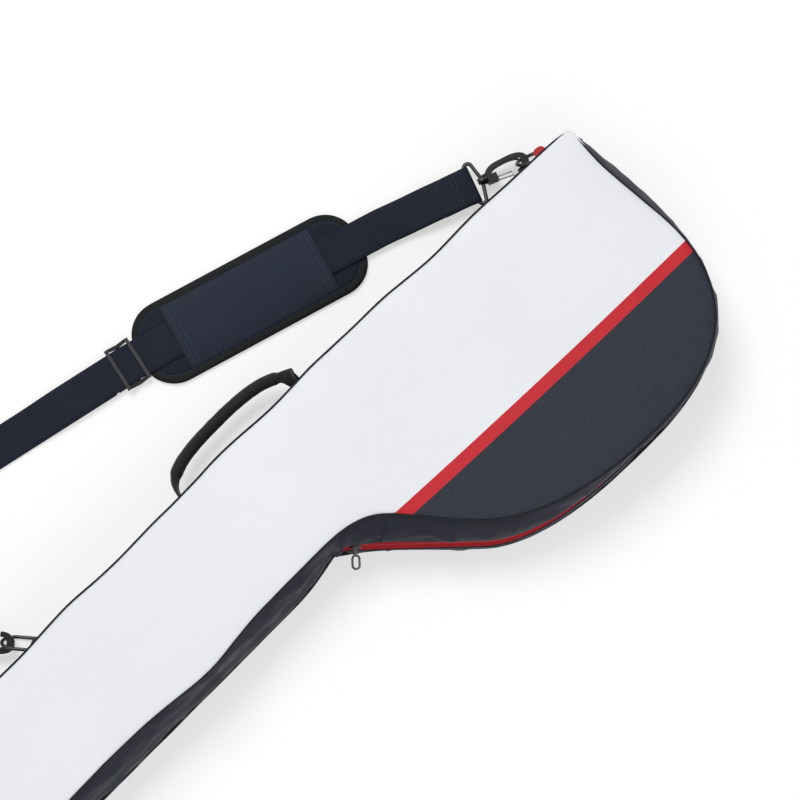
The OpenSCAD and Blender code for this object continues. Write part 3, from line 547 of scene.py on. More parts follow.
class Finish:
    """A material and short ways to add nodes to it."""

    def __init__(self, name):
        self.mat = bpy.data.materials.new(name)
        self.mat.use_nodes = True
        self.tree = self.mat.node_tree
        self.bsdf = self.tree.nodes["Principled BSDF"]
        self.place = self.tree.nodes.new("ShaderNodeTexCoord")

    def add(self, kind, inputs=(), **props):
        return wired(self.tree, "ShaderNode" + kind, inputs, **props)

    def spread(self, source, low, high):
        """The middle of a source's range, stretched to run from low to high."""
        ends = {"From Min": 0.3, "From Max": 0.7, "To Min": low, "To Max": high}
        return self.add("MapRange", {"Value": source, **ends}).outputs["Result"]

    def tone(self, source, dark, light):
        """A colour that wanders between two with the source."""
        ramp = self.add("ValToRGB", {"Fac": source})
        for stop, at, value in zip(ramp.color_ramp.elements, (0.3, 0.7), (dark, light)):
            stop.position, stop.color = at, (*value, 1)
        return ramp.outputs["Color"]

    def speckle(self, scale, detail, **more):
        """Noise over the piece, laid by its place unless a Vector is given."""
        inputs = {"Vector": self.place.outputs["Object"], "Scale": scale, "Detail": detail}
        return self.add("TexNoise", inputs | more).outputs["Fac"]

    def tinted(self, base, source, share, rgb):
        """The base colour with up to a share of another, as the source wanders."""
        inputs = {"Fac": self.spread(source, 0.0, share), "Color1": base, "Color2": (*rgb, 1)}
        return self.add("MixRGB", inputs).outputs[0]

    def bump(self, height, strength, metres, **under):
        """Relief from a height, over another normal where one is given."""
        inputs = {"Height": height, "Strength": strength, "Distance": metres}
        return self.add("Bump", inputs | under).outputs["Normal"]

    def plug(self, **inputs):
        """Feeds the material's own sockets, their names written with underscores."""
        for k, v in inputs.items():
            feed(self.tree, self.bsdf.inputs[k.replace("_", " ")], v)


def scaled(rgb, factor):
    """A lighter or darker shade of the colour."""
    return tuple(min(1.0, c * factor) for c in rgb)


def cloth(name, rgb, pitch, depth, rough, sheen, crease, vary, ribs=0.0, worn=0.0, grain=0.0):
    """Woven fabric: weave and ribs from the piece's own UV, tone, wear and soft creases from its place."""
    f = Finish(name)
    uv, wave = f.place.outputs["UV"], math.pi / 10
    threads = {"Vector": uv, "Scale": wave / (pitch / 1000), "Distortion": 0.6, "Detail": 1.0}
    threads["Detail Scale"] = 2.0
    weft, warp = (f.add("TexWave", threads, bands_direction=way).outputs["Fac"] for way in "XY")
    weave = f.add("Math", {0: weft, 1: warp}, operation="MULTIPLY").outputs[0]
    fibre = f.speckle(1400.0, 3.0)
    patchy = f.speckle(9.0, 4.0, Roughness=0.6)
    fold = f.speckle(26.0, 3.0, Roughness=0.45, Distortion=0.4)
    out = f.tone(patchy, scaled(rgb, 1 - vary), scaled(rgb, 1 + vary))
    out = f.tinted(out, weave, 0.22, scaled(rgb, 0.72))
    out = f.tinted(out, fibre, 0.16, scaled(rgb, 1.35))
    if worn:
        out = f.tinted(out, f.speckle(55.0, 6.0, Roughness=0.7), worn, scaled(rgb, 1.7))
    if grain:
        out = f.tinted(out, f.speckle(520.0, 2.0, Roughness=0.6), grain, scaled(rgb, 2.6))
    height = f.add("Math", {0: weave, 1: f.spread(fibre, 0.0, 0.35)}, operation="ADD").outputs[0]
    if ribs:
        cords = {"Vector": uv, "Scale": wave / (ribs / 1000), "Distortion": 0.25}
        rib = f.add("TexWave", cords, bands_direction="Y").outputs["Fac"]
        height = f.add("Math", {0: height, 1: rib}, operation="ADD").outputs[0]
    small = f.bump(height, 0.6, depth / 1000)
    large = f.bump(fold, crease, 0.004, Normal=small)
    f.plug(Base_Color=out, Roughness=f.spread(patchy, rough - 0.06, rough + 0.08), Normal=large)
    f.plug(Sheen_Weight=sheen, Sheen_Roughness=0.45, Sheen_Tint=(0.85, 0.88, 0.95, 1.0))
    f.plug(Specular_IOR_Level=0.14)
    return f.mat


def metal(name, rgb, rough, scuffs, pits, vary, metallic):
    """Plated metal: cloudy plating, fine scratches and rounded edges."""
    f = Finish(name)
    spot = f.place.outputs["Object"]
    cloud = f.speckle(70.0, 5.0, Roughness=0.6)
    stretched = f.add("Mapping", {"Vector": spot, "Scale": (260.0, 1500.0, 1500.0)}).outputs["Vector"]
    scratch = f.speckle(1.0, 2.0, Vector=stretched)
    pit = f.add("TexVoronoi", {"Vector": spot, "Scale": 900.0}).outputs["Distance"]
    f.plug(Base_Color=f.tone(cloud, scaled(rgb, 1 - vary), scaled(rgb, 1 + vary)), Metallic=metallic)
    f.plug(Roughness=f.spread(scratch, rough - scuffs, rough + 2 * scuffs), Specular_IOR_Level=0.2)
    edge = f.add("Bevel", {"Radius": 0.0004}, samples=4).outputs["Normal"]
    f.plug(Normal=f.bump(pit, pits, 0.0002, Normal=f.bump(scratch, 0.08, 0.0001, Normal=edge)))
    return f.mat


# colour, share of it, weave pitch, weave depth, roughness, sheen, creases, mottling, and what else it has
FABRICS = {
    "shell": ("shell", 1, 0.5, 0.05, 0.52, 0.05, 0.24, 0.025, {}),
    "accent": ("accent", 1, 1.1, 0.22, 0.6, 0.1, 0.9, 0.16, {"worn": 0.1, "grain": 0.2}),
    "stripe": ("stripe", 1, 0.6, 0.08, 0.5, 0.1, 0.2, 0.05, {}),
    "gusset": ("gusset", 1, 0.8, 0.1, 0.56, 0.04, 0.8, 0.1, {"worn": 0.06, "grain": 0.08}),
    "back": ("gusset", 1, 1.2, 0.3, 0.7, 0.15, 0.5, 0.1, {"worn": 0.08}),
    "lining": ("lining", 1, 0.7, 0.1, 0.75, 0.1, 0.6, 0.08, {}),
    "piping": ("piping", 1, 0.6, 0.06, 0.55, 0.08, 0.2, 0.1, {"ribs": 1.4}),
    "zip tape": ("stripe", 0.85, 0.7, 0.2, 0.7, 0.2, 0.2, 0.08, {"ribs": 1.1}),
    "zip coil": ("stripe", 0.8, 0.5, 0.05, 0.38, 0.05, 0.1, 0.12, {}),
    "webbing": ("webbing", 1, 1.1, 0.16, 0.6, 0.1, 0.12, 0.1, {"ribs": 2.3, "worn": 0.05}),
    "sleeve": ("sleeve", 1, 1.3, 0.4, 0.72, 0.2, 0.45, 0.12, {"worn": 0.1, "grain": 0.24}),
    "foam": ("sleeve", 0.62, 1.0, 0.25, 0.8, 0.2, 0.5, 0.1, {"grain": 0.18}),
    "binding": ("binding", 1, 0.7, 0.1, 0.6, 0.08, 0.25, 0.1, {"ribs": 1.6}),
    "grip": ("handle", 1, 0.9, 0.25, 0.6, 0.25, 0.9, 0.14, {"worn": 0.1}),
    "thread": ("sleeve", 3.6, 0.3, 0.05, 0.5, 0.3, 0.0, 0.1, {}),
}
# colour, roughness, scratches, pits, mottling, and 1 for bare metal or 0 for a coat over it
METALS = {
    "gunmetal": ((0.046, 0.047, 0.051), 0.34, 0.03, 0.02, 0.2, 1.0),
    "painted": ((0.016, 0.016, 0.018), 0.36, 0.03, 0.02, 0.2, 0.0),
    "cast": ((0.012, 0.012, 0.013), 0.24, 0.03, 0.08, 0.3, 0.0),
    "bright wire": ((0.3, 0.3, 0.31), 0.24, 0.03, 0.0, 0.1, 1.0),
    "zip metal": ((0.085, 0.084, 0.082), 0.3, 0.05, 0.08, 0.25, 1.0),
}


def finish_of(kind):
    """The named finish, made the first time it is asked for."""
    name = "case " + kind
    if name in bpy.data.materials:
        return bpy.data.materials[name]
    if kind in METALS:
        return metal(name, *METALS[kind])
    dye, share, *weave, extras = FABRICS[kind]
    return cloth(name, scaled(hue(dye), share), *weave, **extras)


# ---- geometry node tools ----

# ways that repeated shapes face
UP, OUT_OF_SPINE = (0, 0, 1), (-1, 0, 0)


def run_tree(name, shape):
    """A node tree that repeats one small shape along paths, turned to the path and its facing attribute."""
    tree = bpy.data.node_groups.new(name, "GeometryNodeTree")
    numbers = [(label, "Float") for label in ("Pitch", "Length", "Width", "Height", "Jitter")]
    for label, kind in [("Paths", "Geometry"), *numbers, ("Seed", "Int"), ("Finish", "Material")]:
        tree.interface.new_socket(name=label, in_out="INPUT", socket_type="NodeSocket" + kind)
    tree.interface.new_socket(name="Geometry", in_out="OUTPUT", socket_type="NodeSocketGeometry")

    def add(kind, inputs=(), out=0, **props):
        return wired(tree, kind, inputs, **props).outputs[out]

    given = wired(tree, "NodeGroupInput").outputs
    curve = add("GeometryNodeMeshToCurve", {"Mesh": given["Paths"]})
    points = add("GeometryNodeResampleCurve", {"Curve": curve, "Length": given["Pitch"]}, mode="LENGTH")
    facing = add("GeometryNodeInputNamedAttribute", {"Name": "facing"}, data_type="FLOAT_VECTOR")
    turn = add("FunctionNodeAlignRotationToVector", {"Vector": add("GeometryNodeInputTangent")}, axis="X")
    upright = {"Rotation": turn, "Vector": facing}
    turn = add("FunctionNodeAlignRotationToVector", upright, axis="Z", pivot_axis="X")
    sides = {"X": given["Length"], "Y": given["Width"], "Z": given["Height"]}
    size = add("ShaderNodeCombineXYZ", sides)
    low = add("ShaderNodeMath", {0: 1.0, 1: given["Jitter"]}, operation="SUBTRACT")
    high = add("ShaderNodeMath", {0: 1.0, 1: given["Jitter"]}, operation="ADD")
    odd = add("FunctionNodeRandomValue", {2: low, 3: high, "Seed": given["Seed"]}, 1, data_type="FLOAT")
    size = add("ShaderNodeVectorMath", {0: size, "Scale": odd}, operation="SCALE")
    if shape == "stitch":
        one = add("GeometryNodeMeshUVSphere", {"Segments": 6, "Rings": 5, "Radius": 0.5})
    else:
        one = add("GeometryNodeMeshCylinder", {"Vertices": 8, "Radius": 0.5, "Depth": 1.0})
    copies = {"Points": points, "Instance": one, "Rotation": turn, "Scale": size}
    real = add("GeometryNodeRealizeInstances", {"Geometry": add("GeometryNodeInstanceOnPoints", copies)})
    done = add("GeometryNodeSetMaterial", {"Geometry": real, "Material": given["Finish"]})
    wired(tree, "NodeGroupOutput", {"Geometry": done})
    return tree


def repeated(name, shape, runs, finish, pitch, size, jitter, seed):
    """A plain mesh of small shapes along runs, each a pair of path and facing in millimetres."""
    tree = bpy.data.node_groups.get("Case " + shape) or run_tree("Case " + shape, shape)
    material = finish_of(finish)
    verts, edges, facing = [], [], []
    for path, face in runs:
        edges += [(len(verts) + i, len(verts) + i + 1) for i in range(len(path) - 1)]
        verts += (np.asarray(path) / 1000).tolist()
        facing += np.broadcast_to(face, (len(path), 3)).tolist()
    lines = bpy.data.meshes.new(name + " paths")
    lines.from_pydata(verts, edges, [])
    lines.attributes.new("facing", "FLOAT_VECTOR", "POINT").data.foreach_set("vector", np.ravel(facing))
    obj = linked(name, lines)
    modifier = obj.modifiers.new("Run", "NODES")
    modifier.node_group = tree
    values = dict(zip(("Pitch", "Length", "Width", "Height"), [v / 1000 for v in (pitch, *size)]))
    values.update({"Jitter": jitter, "Seed": seed, "Finish": material})
    for item in tree.interface.items_tree:
        if item.in_out == "INPUT" and item.name in values:
            modifier[item.identifier] = values[item.name]
    obj.update_tag()
    graph = bpy.context.evaluated_depsgraph_get()
    mesh = bpy.data.meshes.new_from_object(obj.evaluated_get(graph), depsgraph=graph)
    obj.modifiers.clear()
    obj.data = mesh
    bpy.data.meshes.remove(lines)
    if not mesh.polygons:
        raise RuntimeError(name + " came out empty")
    mesh.polygons.foreach_set("use_smooth", np.ones(len(mesh.polygons), bool))
    mesh.materials.clear()
    mesh.materials.append(material)
    mesh.polygons.foreach_set("material_index", np.zeros(len(mesh.polygons), np.int32))
    return obj


# ---- shell of the case ----

# column on the head's side where its seam is parted into a neck half and a crown half
PARTED = 26
# the flap's pieces stop this many columns short of the top corner
STOP = 0.05
# column of the top corner, and how the cover is drawn out round it: how far round, how much and which way
APEX, PULL_ROUND, PULL, PULL_HEADING = 49.5, 19, 2.6, 118


def seam_line(s, start, end, pitch=5):
    """Edge of the front covers, a little over the cord in the seam."""
    c, line = columns(s, start, end, pitch), Outline(s, 0)
    return line.at(c) + 0.9 * line.out(c)


def cover_height(s, plan):
    """Top of the padded front: rolled down at the seam, gently full and uneven inside."""
    seam = seam_line(s, 0, COLUMNS, 4)
    d = distance(plan, np.concatenate([seam, seam[:1]]))
    waves = 0.8 * wander(plan, 85, 2.0) + 0.45 * wander(plan, 34, 7.0)
    waves = waves + 0.5 * wander(plan * [1, 0.35], 22, 9.0)
    rolled, full = 2.7 * (1 - np.exp(-d / 5)), 1.2 * smooth(d / 48)
    pucker = 0.45 * wander(plan, 11, 5.0) * np.exp(-d / 9) * smooth(d / 3)
    return s.seam_z + 1.0 + rolled + full + waves * smooth(d / 20) + pucker


def corner_pull(s, plan):
    """How far the cover is drawn out at each place, and how near that is to the top corner."""
    apex = Outline(s, 0).at([APEX])[0]
    near = hump(np.linalg.norm(plan - apex, axis=1), 0, PULL_ROUND)
    return near[:, None] * heading(PULL_HEADING) * PULL, near


def cover(s, name, grid, finish):
    """A front cover over a grid of plan points, lined underneath."""
    n, m = grid.shape[:2]
    plan = grid.reshape(-1, 2)
    pull, near = corner_pull(s, plan)
    height = cover_height(s, plan) + 1.6 * near * (1 - near)
    rest, fabric = s.seam_z + 0.1, 0.9
    lining = np.where(near > 0.1, np.minimum(height - fabric, rest + 3 * near), rest)
    top = lifted(plan + pull, height).reshape(n, m, 3)
    under = lifted(plan + pull * 0.97, lining).reshape(n, m, 3)
    verts, faces, marks = shell(top, under)
    return make(name, verts, faces, [finish, "lining"], marks, np.concatenate([plan, plan]))


def split_seam(s):
    """The front seam's neck and crown halves, and the stripe's two edges where they run between them."""
    neck, crown = seam_line(s, ZIP, PARTED, 2), seam_line(s, PARTED, CORNER, 2)
    edges = []
    for side in (-1, 1):
        edge = stripe_edge(s, side)
        on_neck, foot = crossing(neck, edge)
        on_crown, head = crossing(crown, edge)
        inside = edge[(edge[:, 1] > foot[1] + 2) & (edge[:, 1] < head[1] - 2)]
        line = np.concatenate([[foot], inside, [head]])
        edges.append(SimpleNamespace(on_neck=on_neck, foot=foot, on_crown=on_crown, head=head, line=line))
    return neck, crown, edges


def white_front(s, neck, low):
    """The pale cover from the foot to the stripe, in place of the front and flap panels."""
    bottom = seam_line(s, SPINE_END + FOOT, COLUMNS + FOOT)
    left = seam_line(s, CORNER - 2, SPINE_END + FOOT)[::-1]
    right = np.concatenate([seam_line(s, FOOT, ZIP), neck[1 : low.on_neck + 1], low.line])
    over = seam_line(s, PARTED, CORNER - 2, 2)
    top = np.concatenate([[low.head], over[low.on_crown + 1 :]])[::-1]
    grid = patch(bottom, top, left, right, graded(30, 0.82), graded(210, 0.7))
    white = cover(s, "front_cover", grid, "shell")
    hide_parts("front_panel", "flap_panel")
    a, b = (Outline(s, 0).at([c])[0] for c in (FLAP, CORNER))
    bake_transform(white)


def head_covers(s, neck, crown, low, high):
    """The stripe, and the dark cover beyond it."""
    feet, heads = np.array([low.foot, high.foot]), np.array([low.head, high.head])
    band = patch(feet, heads, low.line, high.line, np.linspace(0, 1, 7), graded(70, 0.7))
    arc = [[high.foot], neck[high.on_neck + 1 :], crown[1 : high.on_crown + 1], [high.head]]
    foot, head = np.array([high.foot] * 2), np.array([high.head] * 2)
    beyond = patch(foot, head, high.line, np.concatenate(arc), graded(30, 0.8), graded(80, 0.6))
    for name, grid, finish, slot, node in (
        ("stripe_cover", band, "stripe", "shell_red", "accent_stripe"),
        ("accent_cover", beyond, "accent", "shell_charcoal", "accent_panel"),
    ):
        piece = cover(s, name, grid, finish)
        settle(piece, "head_flap", slot, node)


class CASE_OT_front(bpy.types.Operator):
    """Builds the pale front cover, the stripe and the dark cover on the head"""

    bl_idname = "case.front"
    bl_label = "Front covers"

    def execute(self, context):
        s = sizes()
        neck, crown, (low, high) = split_seam(s)
        white_front(s, neck, low)
        head_covers(s, neck, crown, low, high)
        return {"FINISHED"}


# folds at the neck: column, height and width
PLEATS = (
    (11.2, -2.6, 0.16),
    (11.75, 3.2, 0.14),
    (12.9, -2.4, 0.4),
    (14.1, 2.2, 0.35),
    (16.1, -1.6, 0.45),
    (18.2, 1.8, 0.35),
    (20.4, -1.6, 0.3),
)


def sewn_down(s, y):
    """1 where the spine is free to fold, 0 where straps are sewn to it."""
    top, k, held = handle_places(s)[0], chain(s), ANCHOR_TO + 4
    handle = [(top, top + held), (top - s.handle_len - held, top - s.handle_len)]
    free = np.ones_like(y)
    for low, high in handle + [(k.upper_y - 34, s.top_y), (k.lower_y - 80, k.lower_y + 24)]:
        free *= smooth((np.maximum(low - y, y - high)) / 16)
    return free


def wall(s, start, end, z0, z1, levels, zipped, pitch=4.5):
    """Outer and inner grid of a stretch of gusset, folded and puckered, with its UV."""
    c = columns(s, start, end, pitch)
    widest = Outline(s, 1).at(c)
    run, c = spans(widest), c % COLUMNS
    neck = hump(c, FLAP - 1, 5.5)
    spine = np.where((c > CORNER + 3) & (c < SPINE_END + 1), 1.0, 0.0)
    free = np.where(spine > 0, sewn_down(s, widest[:, 1]), 1.0)
    outer, inner, uv = [], [], []
    for z in z0 + (z1 - z0) * levels:
        line = Outline(s, bulge(s, z))
        p, n = line.at(c), line.out(c)
        held = smooth(min(z - s.panel_t, s.seam_z - z) / 12) * (1 - 0.55 * hump(c, 43, 4))
        if zipped:
            held *= smooth((abs(z - s.zip_z) - s.zip_band / 2 - 1) / 9)
        places = np.stack([run, np.full(len(c), z)], 1)
        slant = places @ np.array([[1, 0.35], [-0.5, 1]])
        fold = wander(slant * [0.35, 1.9], 24, 1.0) * (2.4 + 1.8 * neck)
        fold += wander(places * [1, 0.6], 12, 4.0) * (0.7 + 0.7 * neck)
        ridge = 1 - 2.4 * np.abs(wander(slant * [0.8, 0.6], 28, 6.0))
        fold += 2.4 * np.maximum(ridge - 0.5, 0) * (1 + 0.8 * neck) - 1.6 * spine
        for at, high, wide in PLEATS:
            fold += high * hump(c, at + (z - s.zip_z) * 0.012, wide)
        seam = wander(places * [1, 0.2], 6, 8.0) * 0.35 * math.exp(-(s.seam_z - z) / 5)
        outer.append(lifted(p + (fold * held * free + seam)[:, None] * n, z))
        inner.append(lifted(p - s.gusset_t * n, z))
        uv.append(places)
    outer, inner, uv = (np.transpose(np.array(rows), (1, 0, 2)) for rows in (outer, inner, uv))
    return outer, inner, np.tile(uv.reshape(-1, 2), (2, 1))


def back_cover(s):
    """The padded back, a slab with rounded edges."""
    c = columns(s, 0, COLUMNS, 7)[:-1]
    edge, away = Outline(s, BACK_K).at(c), Outline(s, BACK_K).out(c)
    rings = [(0.7, 0.0), (0.0, 0.9), (0.0, s.panel_t - 0.9), (0.7, s.panel_t)]
    verts = np.concatenate([lifted(edge - i * away, z) for i, z in rings])
    n, lid = len(c), len(verts) - len(c)
    faces = bands(len(rings), n) + [tuple(range(n)), tuple(range(lid, len(verts)))]
    back = make("back_cover", verts, faces, ["back", "lining"], [0] * (lid + 1) + [1])
    settle(back, "case", "gusset", "back_panel")


class CASE_OT_walls(bpy.types.Operator):
    """Builds the gusset walls and the back"""

    bl_idname = "case.walls"
    bl_label = "Walls and back"

    def execute(self, context):
        s = sizes()
        hair, tube_end = 0.003, COLUMNS + ZIP
        full, low, high = (s.panel_t, s.seam_z), (s.panel_t, s.band_lo), (s.band_hi, s.seam_z)
        for name, start, end, (z0, z1), body, *nodes in (
            ("tube_wall", CORNER, tube_end, full, "case", "spine_gusset", "base_gusset", "tube_gusset"),
            ("neck_wall", ZIP, FLAP - hair, high, "case", "neck_gusset"),
            ("head_wall_low", ZIP, CORNER, low, "case", "head_gusset_lower"),
            ("head_wall_high", FLAP + hair, CORNER - STOP, high, "head_flap", "head_gusset_upper"),
        ):
            levels = graded(20 if z1 - z0 > 40 else 10, 0.4)
            outer, inner, uv = wall(s, start, end, z0, z1, levels, end != tube_end)
            verts, faces, marks = shell(outer, inner)
            settle(make(name, verts, faces, ["gusset", "lining"], marks, uv), body, "gusset", *nodes)
        back_cover(s)
        return {"FINISHED"}


class CASE_OT_piping(bpy.types.Operator):
    """Builds the cords in the front and back seams"""

    bl_idname = "case.piping"
    bl_label = "Piping"

    def execute(self, context):
        s = sizes()
        gap, front_z, back_z = 0.004, s.seam_z + s.panel_t / 2, s.panel_t / 2
        # level of the plan, its height, the cord's share of the full thickness and how far out it lies
        front, back = (0, front_z, 0.5, 0.6), (BACK_K, back_z, 1, s.piping_d / 2 - 0.5)
        for name, start, end, (k, z, share, out), body, node in (
            ("front_cord", CORNER + 3.4, COLUMNS + FLAP - gap, front, "case", "front_piping"),
            ("flap_cord", FLAP + gap, CORNER - STOP, front, "head_flap", "flap_piping"),
            ("back_cord", 0, COLUMNS, back, "case", "back_piping"),
        ):
            closed = end - start == COLUMNS
            c = columns(s, start, end, 4.0)
            c = c[:-1] if closed else c
            line = Outline(s, k)
            away = line.out(c)
            path = lifted(line.at(c) + away * out, z)
            path[:, 2] += 0.25 * wander(path, 40, 3.0) if z > s.piping_d else 0
            path[:, :2] += away * (0.3 * wander(path, 30, 6.0))[:, None]
            fat = (1 + 0.05 * wander(path, 7, 9.0)) * share * s.piping_d
            run = spans(path) if name == "front_cord" else spans(path)[-1] - spans(path)
            fat *= 1 if closed else 0.3 + 0.7 * smooth(run / 14)

            def ring(i):
                return round_ring(fat[i], fat[i] * 0.96, 10)

            settle(swept(name, path, lifted(away, 0), ring, "piping", closed), body, "piping", node)
        return {"FINISHED"}


# ---- zip ----

# how far in from the widest level the tape and the coil lie, and how thick the tape is
TAPE_IN, COIL_IN, TAPE_T = 4.4, 4.8, 0.75
# how far from the zip's middle the coil starts and the tape bends, and a tooth's three sizes
NEAR, BEND, TOOTH = 0.75, 4.9, (1.25, 2.1, 1.9)


def zip_tape(s, label, c, up):
    """A tape from the gusset's edge, bent in behind it to the coil; up is 1 above the zip and -1 below."""
    line = Outline(s, 1)
    plan, away = line.at(c), line.out(c)
    near, bend = s.zip_z + up * NEAR, s.zip_z + up * BEND
    far, far_k = (s.band_hi, HIGH_K) if up > 0 else (s.band_lo, 1)
    edge = Outline(s, far_k)
    rows = []
    for t in (0, 0.5, 0.85, 1):
        sunk = mix(edge.at(c) - 1.1 * edge.out(c), plan - TAPE_IN * away, t)
        rows.append((sunk, mix(far, bend, t**2)))
    rows += [(plan - TAPE_IN * away, z) for z in np.linspace(bend, near + up * 0.2, 4)[1:]]
    front = np.stack([lifted(p, z) for p, z in rows], 1)
    rear = [lifted(p - TAPE_T * away, z - up * 0.5 * (i < 4)) for i, (p, z) in enumerate(rows)]
    verts, faces, _ = shell(front, np.stack(rear, 1))
    uv = np.stack([np.repeat(spans(plan), len(rows)), np.tile(spans(front[0]), len(c))], 1)
    return make("tape_" + label, verts, faces, ["zip tape"], None, np.concatenate([uv, uv]))


def zip_coil(s, label, c, up):
    """The coil's turns beside a tape; those above stand half a pitch on from those below."""
    line = Outline(s, 1)
    path = lifted(line.at(c) - COIL_IN * line.out(c), s.zip_z + up * NEAR + up * TOOTH[2] / 2)
    if up > 0:
        path = along(path, np.linspace(0.5 * s.tooth_pitch / spans(line.at(c))[-1], 1, len(c)))
    runs = [(path, UP)]
    return repeated("zip_teeth_" + label, "tooth", runs, "zip coil", s.tooth_pitch, TOOTH, 0.02, 3)


class CASE_OT_zip(bpy.types.Operator):
    """Builds the zip's tapes and its coil"""

    bl_idname = "case.zip"
    bl_label = "Zip"

    def execute(self, context):
        s = sizes()
        for label, start, end, up, body, tape_node, coil_node in (
            ("low", ZIP + 0.05, CORNER, -1, "case", "zip_tape_lower", "zip_coil_lower"),
            ("lead", ZIP + 0.05, FLAP - 0.01, 1, "case", "zip_tape_lead", "zip_coil_lead"),
            ("high", FLAP + 0.02, CORNER - STOP, 1, "head_flap", "zip_tape_upper", "zip_coil_upper"),
        ):
            c = columns(s, start, end, 4)
            settle(zip_tape(s, label, c, up), body, "zip_red", tape_node)
            settle(zip_coil(s, label, c, up), body, "zip_red", coil_node)
        tab = soft_copy("zip_end_tab", "end_tab", "stripe", -98, 0.5)
        settle(tab, "case", "shell_red", "zip_end_tab")
        return {"FINISHED"}


# ---- carry handle ----

GRIP_FROM, GRIP_TO = 0.17, 0.84
ANCHOR_T, ANCHOR_W, DROOP = 2.4, 22, 30
# where a handle's anchor starts and ends, past the handle's own end
ANCHOR_FROM, ANCHOR_TO = 4, 44


def handle_places(s):
    """Top end of the handle, and a function from the handle's own frame to the case's."""
    top = s.notch_y + 96
    mid = top - s.handle_len / 2
    lean = math.atan2(spine_edge(s, top) - spine_edge(s, top - s.handle_len), s.handle_len)
    (c, n), (d, e) = heading(180 - math.degrees(lean)), heading(DROOP)
    turn = np.array([[c, -n, 0], [n, c, 0], [0, 0, 1]])
    droop = np.array([[d, 0, e], [0, 1, 0], [-e, 0, d]])
    whole = turn @ droop @ np.diag([1, -1, 1])
    origin = np.array([spine_edge(s, mid) - ANCHOR_T - 0.6, mid, s.case_depth / 2])
    return top, lambda p: origin + np.asarray(p) @ whole.T


def handle_line(s, t):
    """Places on the handle's middle line, in its own plan, at fractions t from the lower end."""
    h, r = s.handle_len / 2, s.handle_reach
    t = np.asarray(t, float)
    low = np.array([[1.2, -h], [r * 0.9, -h * 0.98], [r, -h * 0.6], [r, 0]])
    high = np.array([[r, 0], [r, h * 0.55], [r * 0.8, h * 0.93], [1.2, h]])
    return np.where((t < 0.5)[:, None], bezier(*low, t * 2), bezier(*high, t * 2 - 1))


def along_handle(s, name, ts, ring):
    """A padded piece of the handle, swept over fractions ts of its middle line."""
    flat = handle_line(s, ts)
    ahead = np.gradient(flat, axis=0)
    side = np.stack([ahead[:, 1], -ahead[:, 0], 0 * ts], 1)
    return swept(name, lifted(flat, 0), side, ring, "grip", place=handle_places(s)[1], girth=3.2)


def wrapped_grip(s, n=64):
    """The grip, wrinkled, with a seam along its inner side."""

    def ring(i):
        f = i / (n - 1)
        ends = smooth(min(f, 1 - f) / 0.05)
        a = np.radians(np.arange(20) * 18 + 9)
        wrinkle = np.array([ripple(math.cos(v) * 1.6, math.sin(v) * 1.6, f * 26) for v in a])
        seam = -0.9 * hump(a, math.pi, 0.16) + 0.5 * hump(a, math.pi, 0.5)
        r = s.grip_d / 2 * (0.8 + 0.2 * ends) + 0.28 * wrinkle + seam - 0.1
        return np.stack([np.cos(a) * r, np.sin(a) * r * 0.97], 1)

    grip = along_handle(s, "grip", np.linspace(GRIP_FROM - 0.012, GRIP_TO + 0.012, n), ring)
    settle(grip, "carry_handle", "handle", "handle_grip")


def grip_end(s, name, t0, t1, wide, lay, node, n=22):
    """An end of the grip, flattened on its way to the spine and turned by up to lay degrees between."""

    def ring(i):
        part = i / (n - 1)
        f = smooth(part)
        pinch = 1 - 0.12 * math.sin(math.pi * min(1, part * 1.15))
        cosine, sine = heading(lay * math.sin(math.pi * f**0.8))
        thick, width = mix(s.grip_d * 0.78, 3.0, f), mix(s.grip_d * 0.8, wide, f) * pinch
        return round_ring(thick, width, 16, mix(2, 3.2, f)) @ np.array([[cosine, sine], [-sine, cosine]])

    end = along_handle(s, name, np.linspace(t0, t1, n), ring)
    place = handle_places(s)[1]
    root, out = (tuple(place([[x, 0, 0]])[0] / 1000) for x in (1.5, 13.0))
    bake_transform(end)
    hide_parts(node)


def spine_strap(s, name, y0, y1, z, width, thick):
    """Webbing sewn flat on the spine, thinner at its ends."""
    thin = thick * np.array([0.5, 0.9] + [1] * 10 + [0.9, 0.5])
    y = np.linspace(y0, y1, len(thin))
    path = np.stack([spine_edge(s, y) - thick / 2 - 0.05, y, np.full(len(thin), z)], 1)
    side = np.tile([0.0, 0.0, 1.0], (len(thin), 1))
    return swept(name, path, side, lambda i: web_ring(width, thin[i]), "webbing")


class CASE_OT_handle(bpy.types.Operator):
    """Builds the wrapped grip, its two flattened ends and the strips that hold them"""

    bl_idname = "case.handle"
    bl_label = "Carry handle"

    def execute(self, context):
        s = sizes()
        wrapped_grip(s)
        grip_end(s, "handle_end_upper", GRIP_TO - 0.02, 0.992, 26.0, 64, "handle_tab_upper")
        grip_end(s, "handle_end_lower", GRIP_FROM + 0.02, 0.008, 13.0, 12, "handle_tab_lower")
        top = handle_places(s)[0]
        low = top - s.handle_len
        for name, y0, y1, node in (
            ("anchor_upper", top + ANCHOR_FROM, top + ANCHOR_TO, "handle_anchor_upper"),
            ("anchor_lower", low - ANCHOR_TO, low - ANCHOR_FROM, "handle_anchor_lower"),
        ):
            anchor = spine_strap(s, name, y0, y1, s.case_depth / 2, ANCHOR_W, ANCHOR_T)
            settle(anchor, "case", "webbing", node)
        return {"FINISHED"}


# ---- straps ----

# heights of the hooks and loops, and of the webbing's underside at the pad and on the surface
CHAIN_Z, WEB_Z, FLOOR_Z = 15, 6.4, 0.1
# headings of the strap's stretches in plan
UPPER_HEADING, LOWER_HEADING, PAD_HEADING, TAIL_HEADING = 69.2, 40, 73.5, 77.7
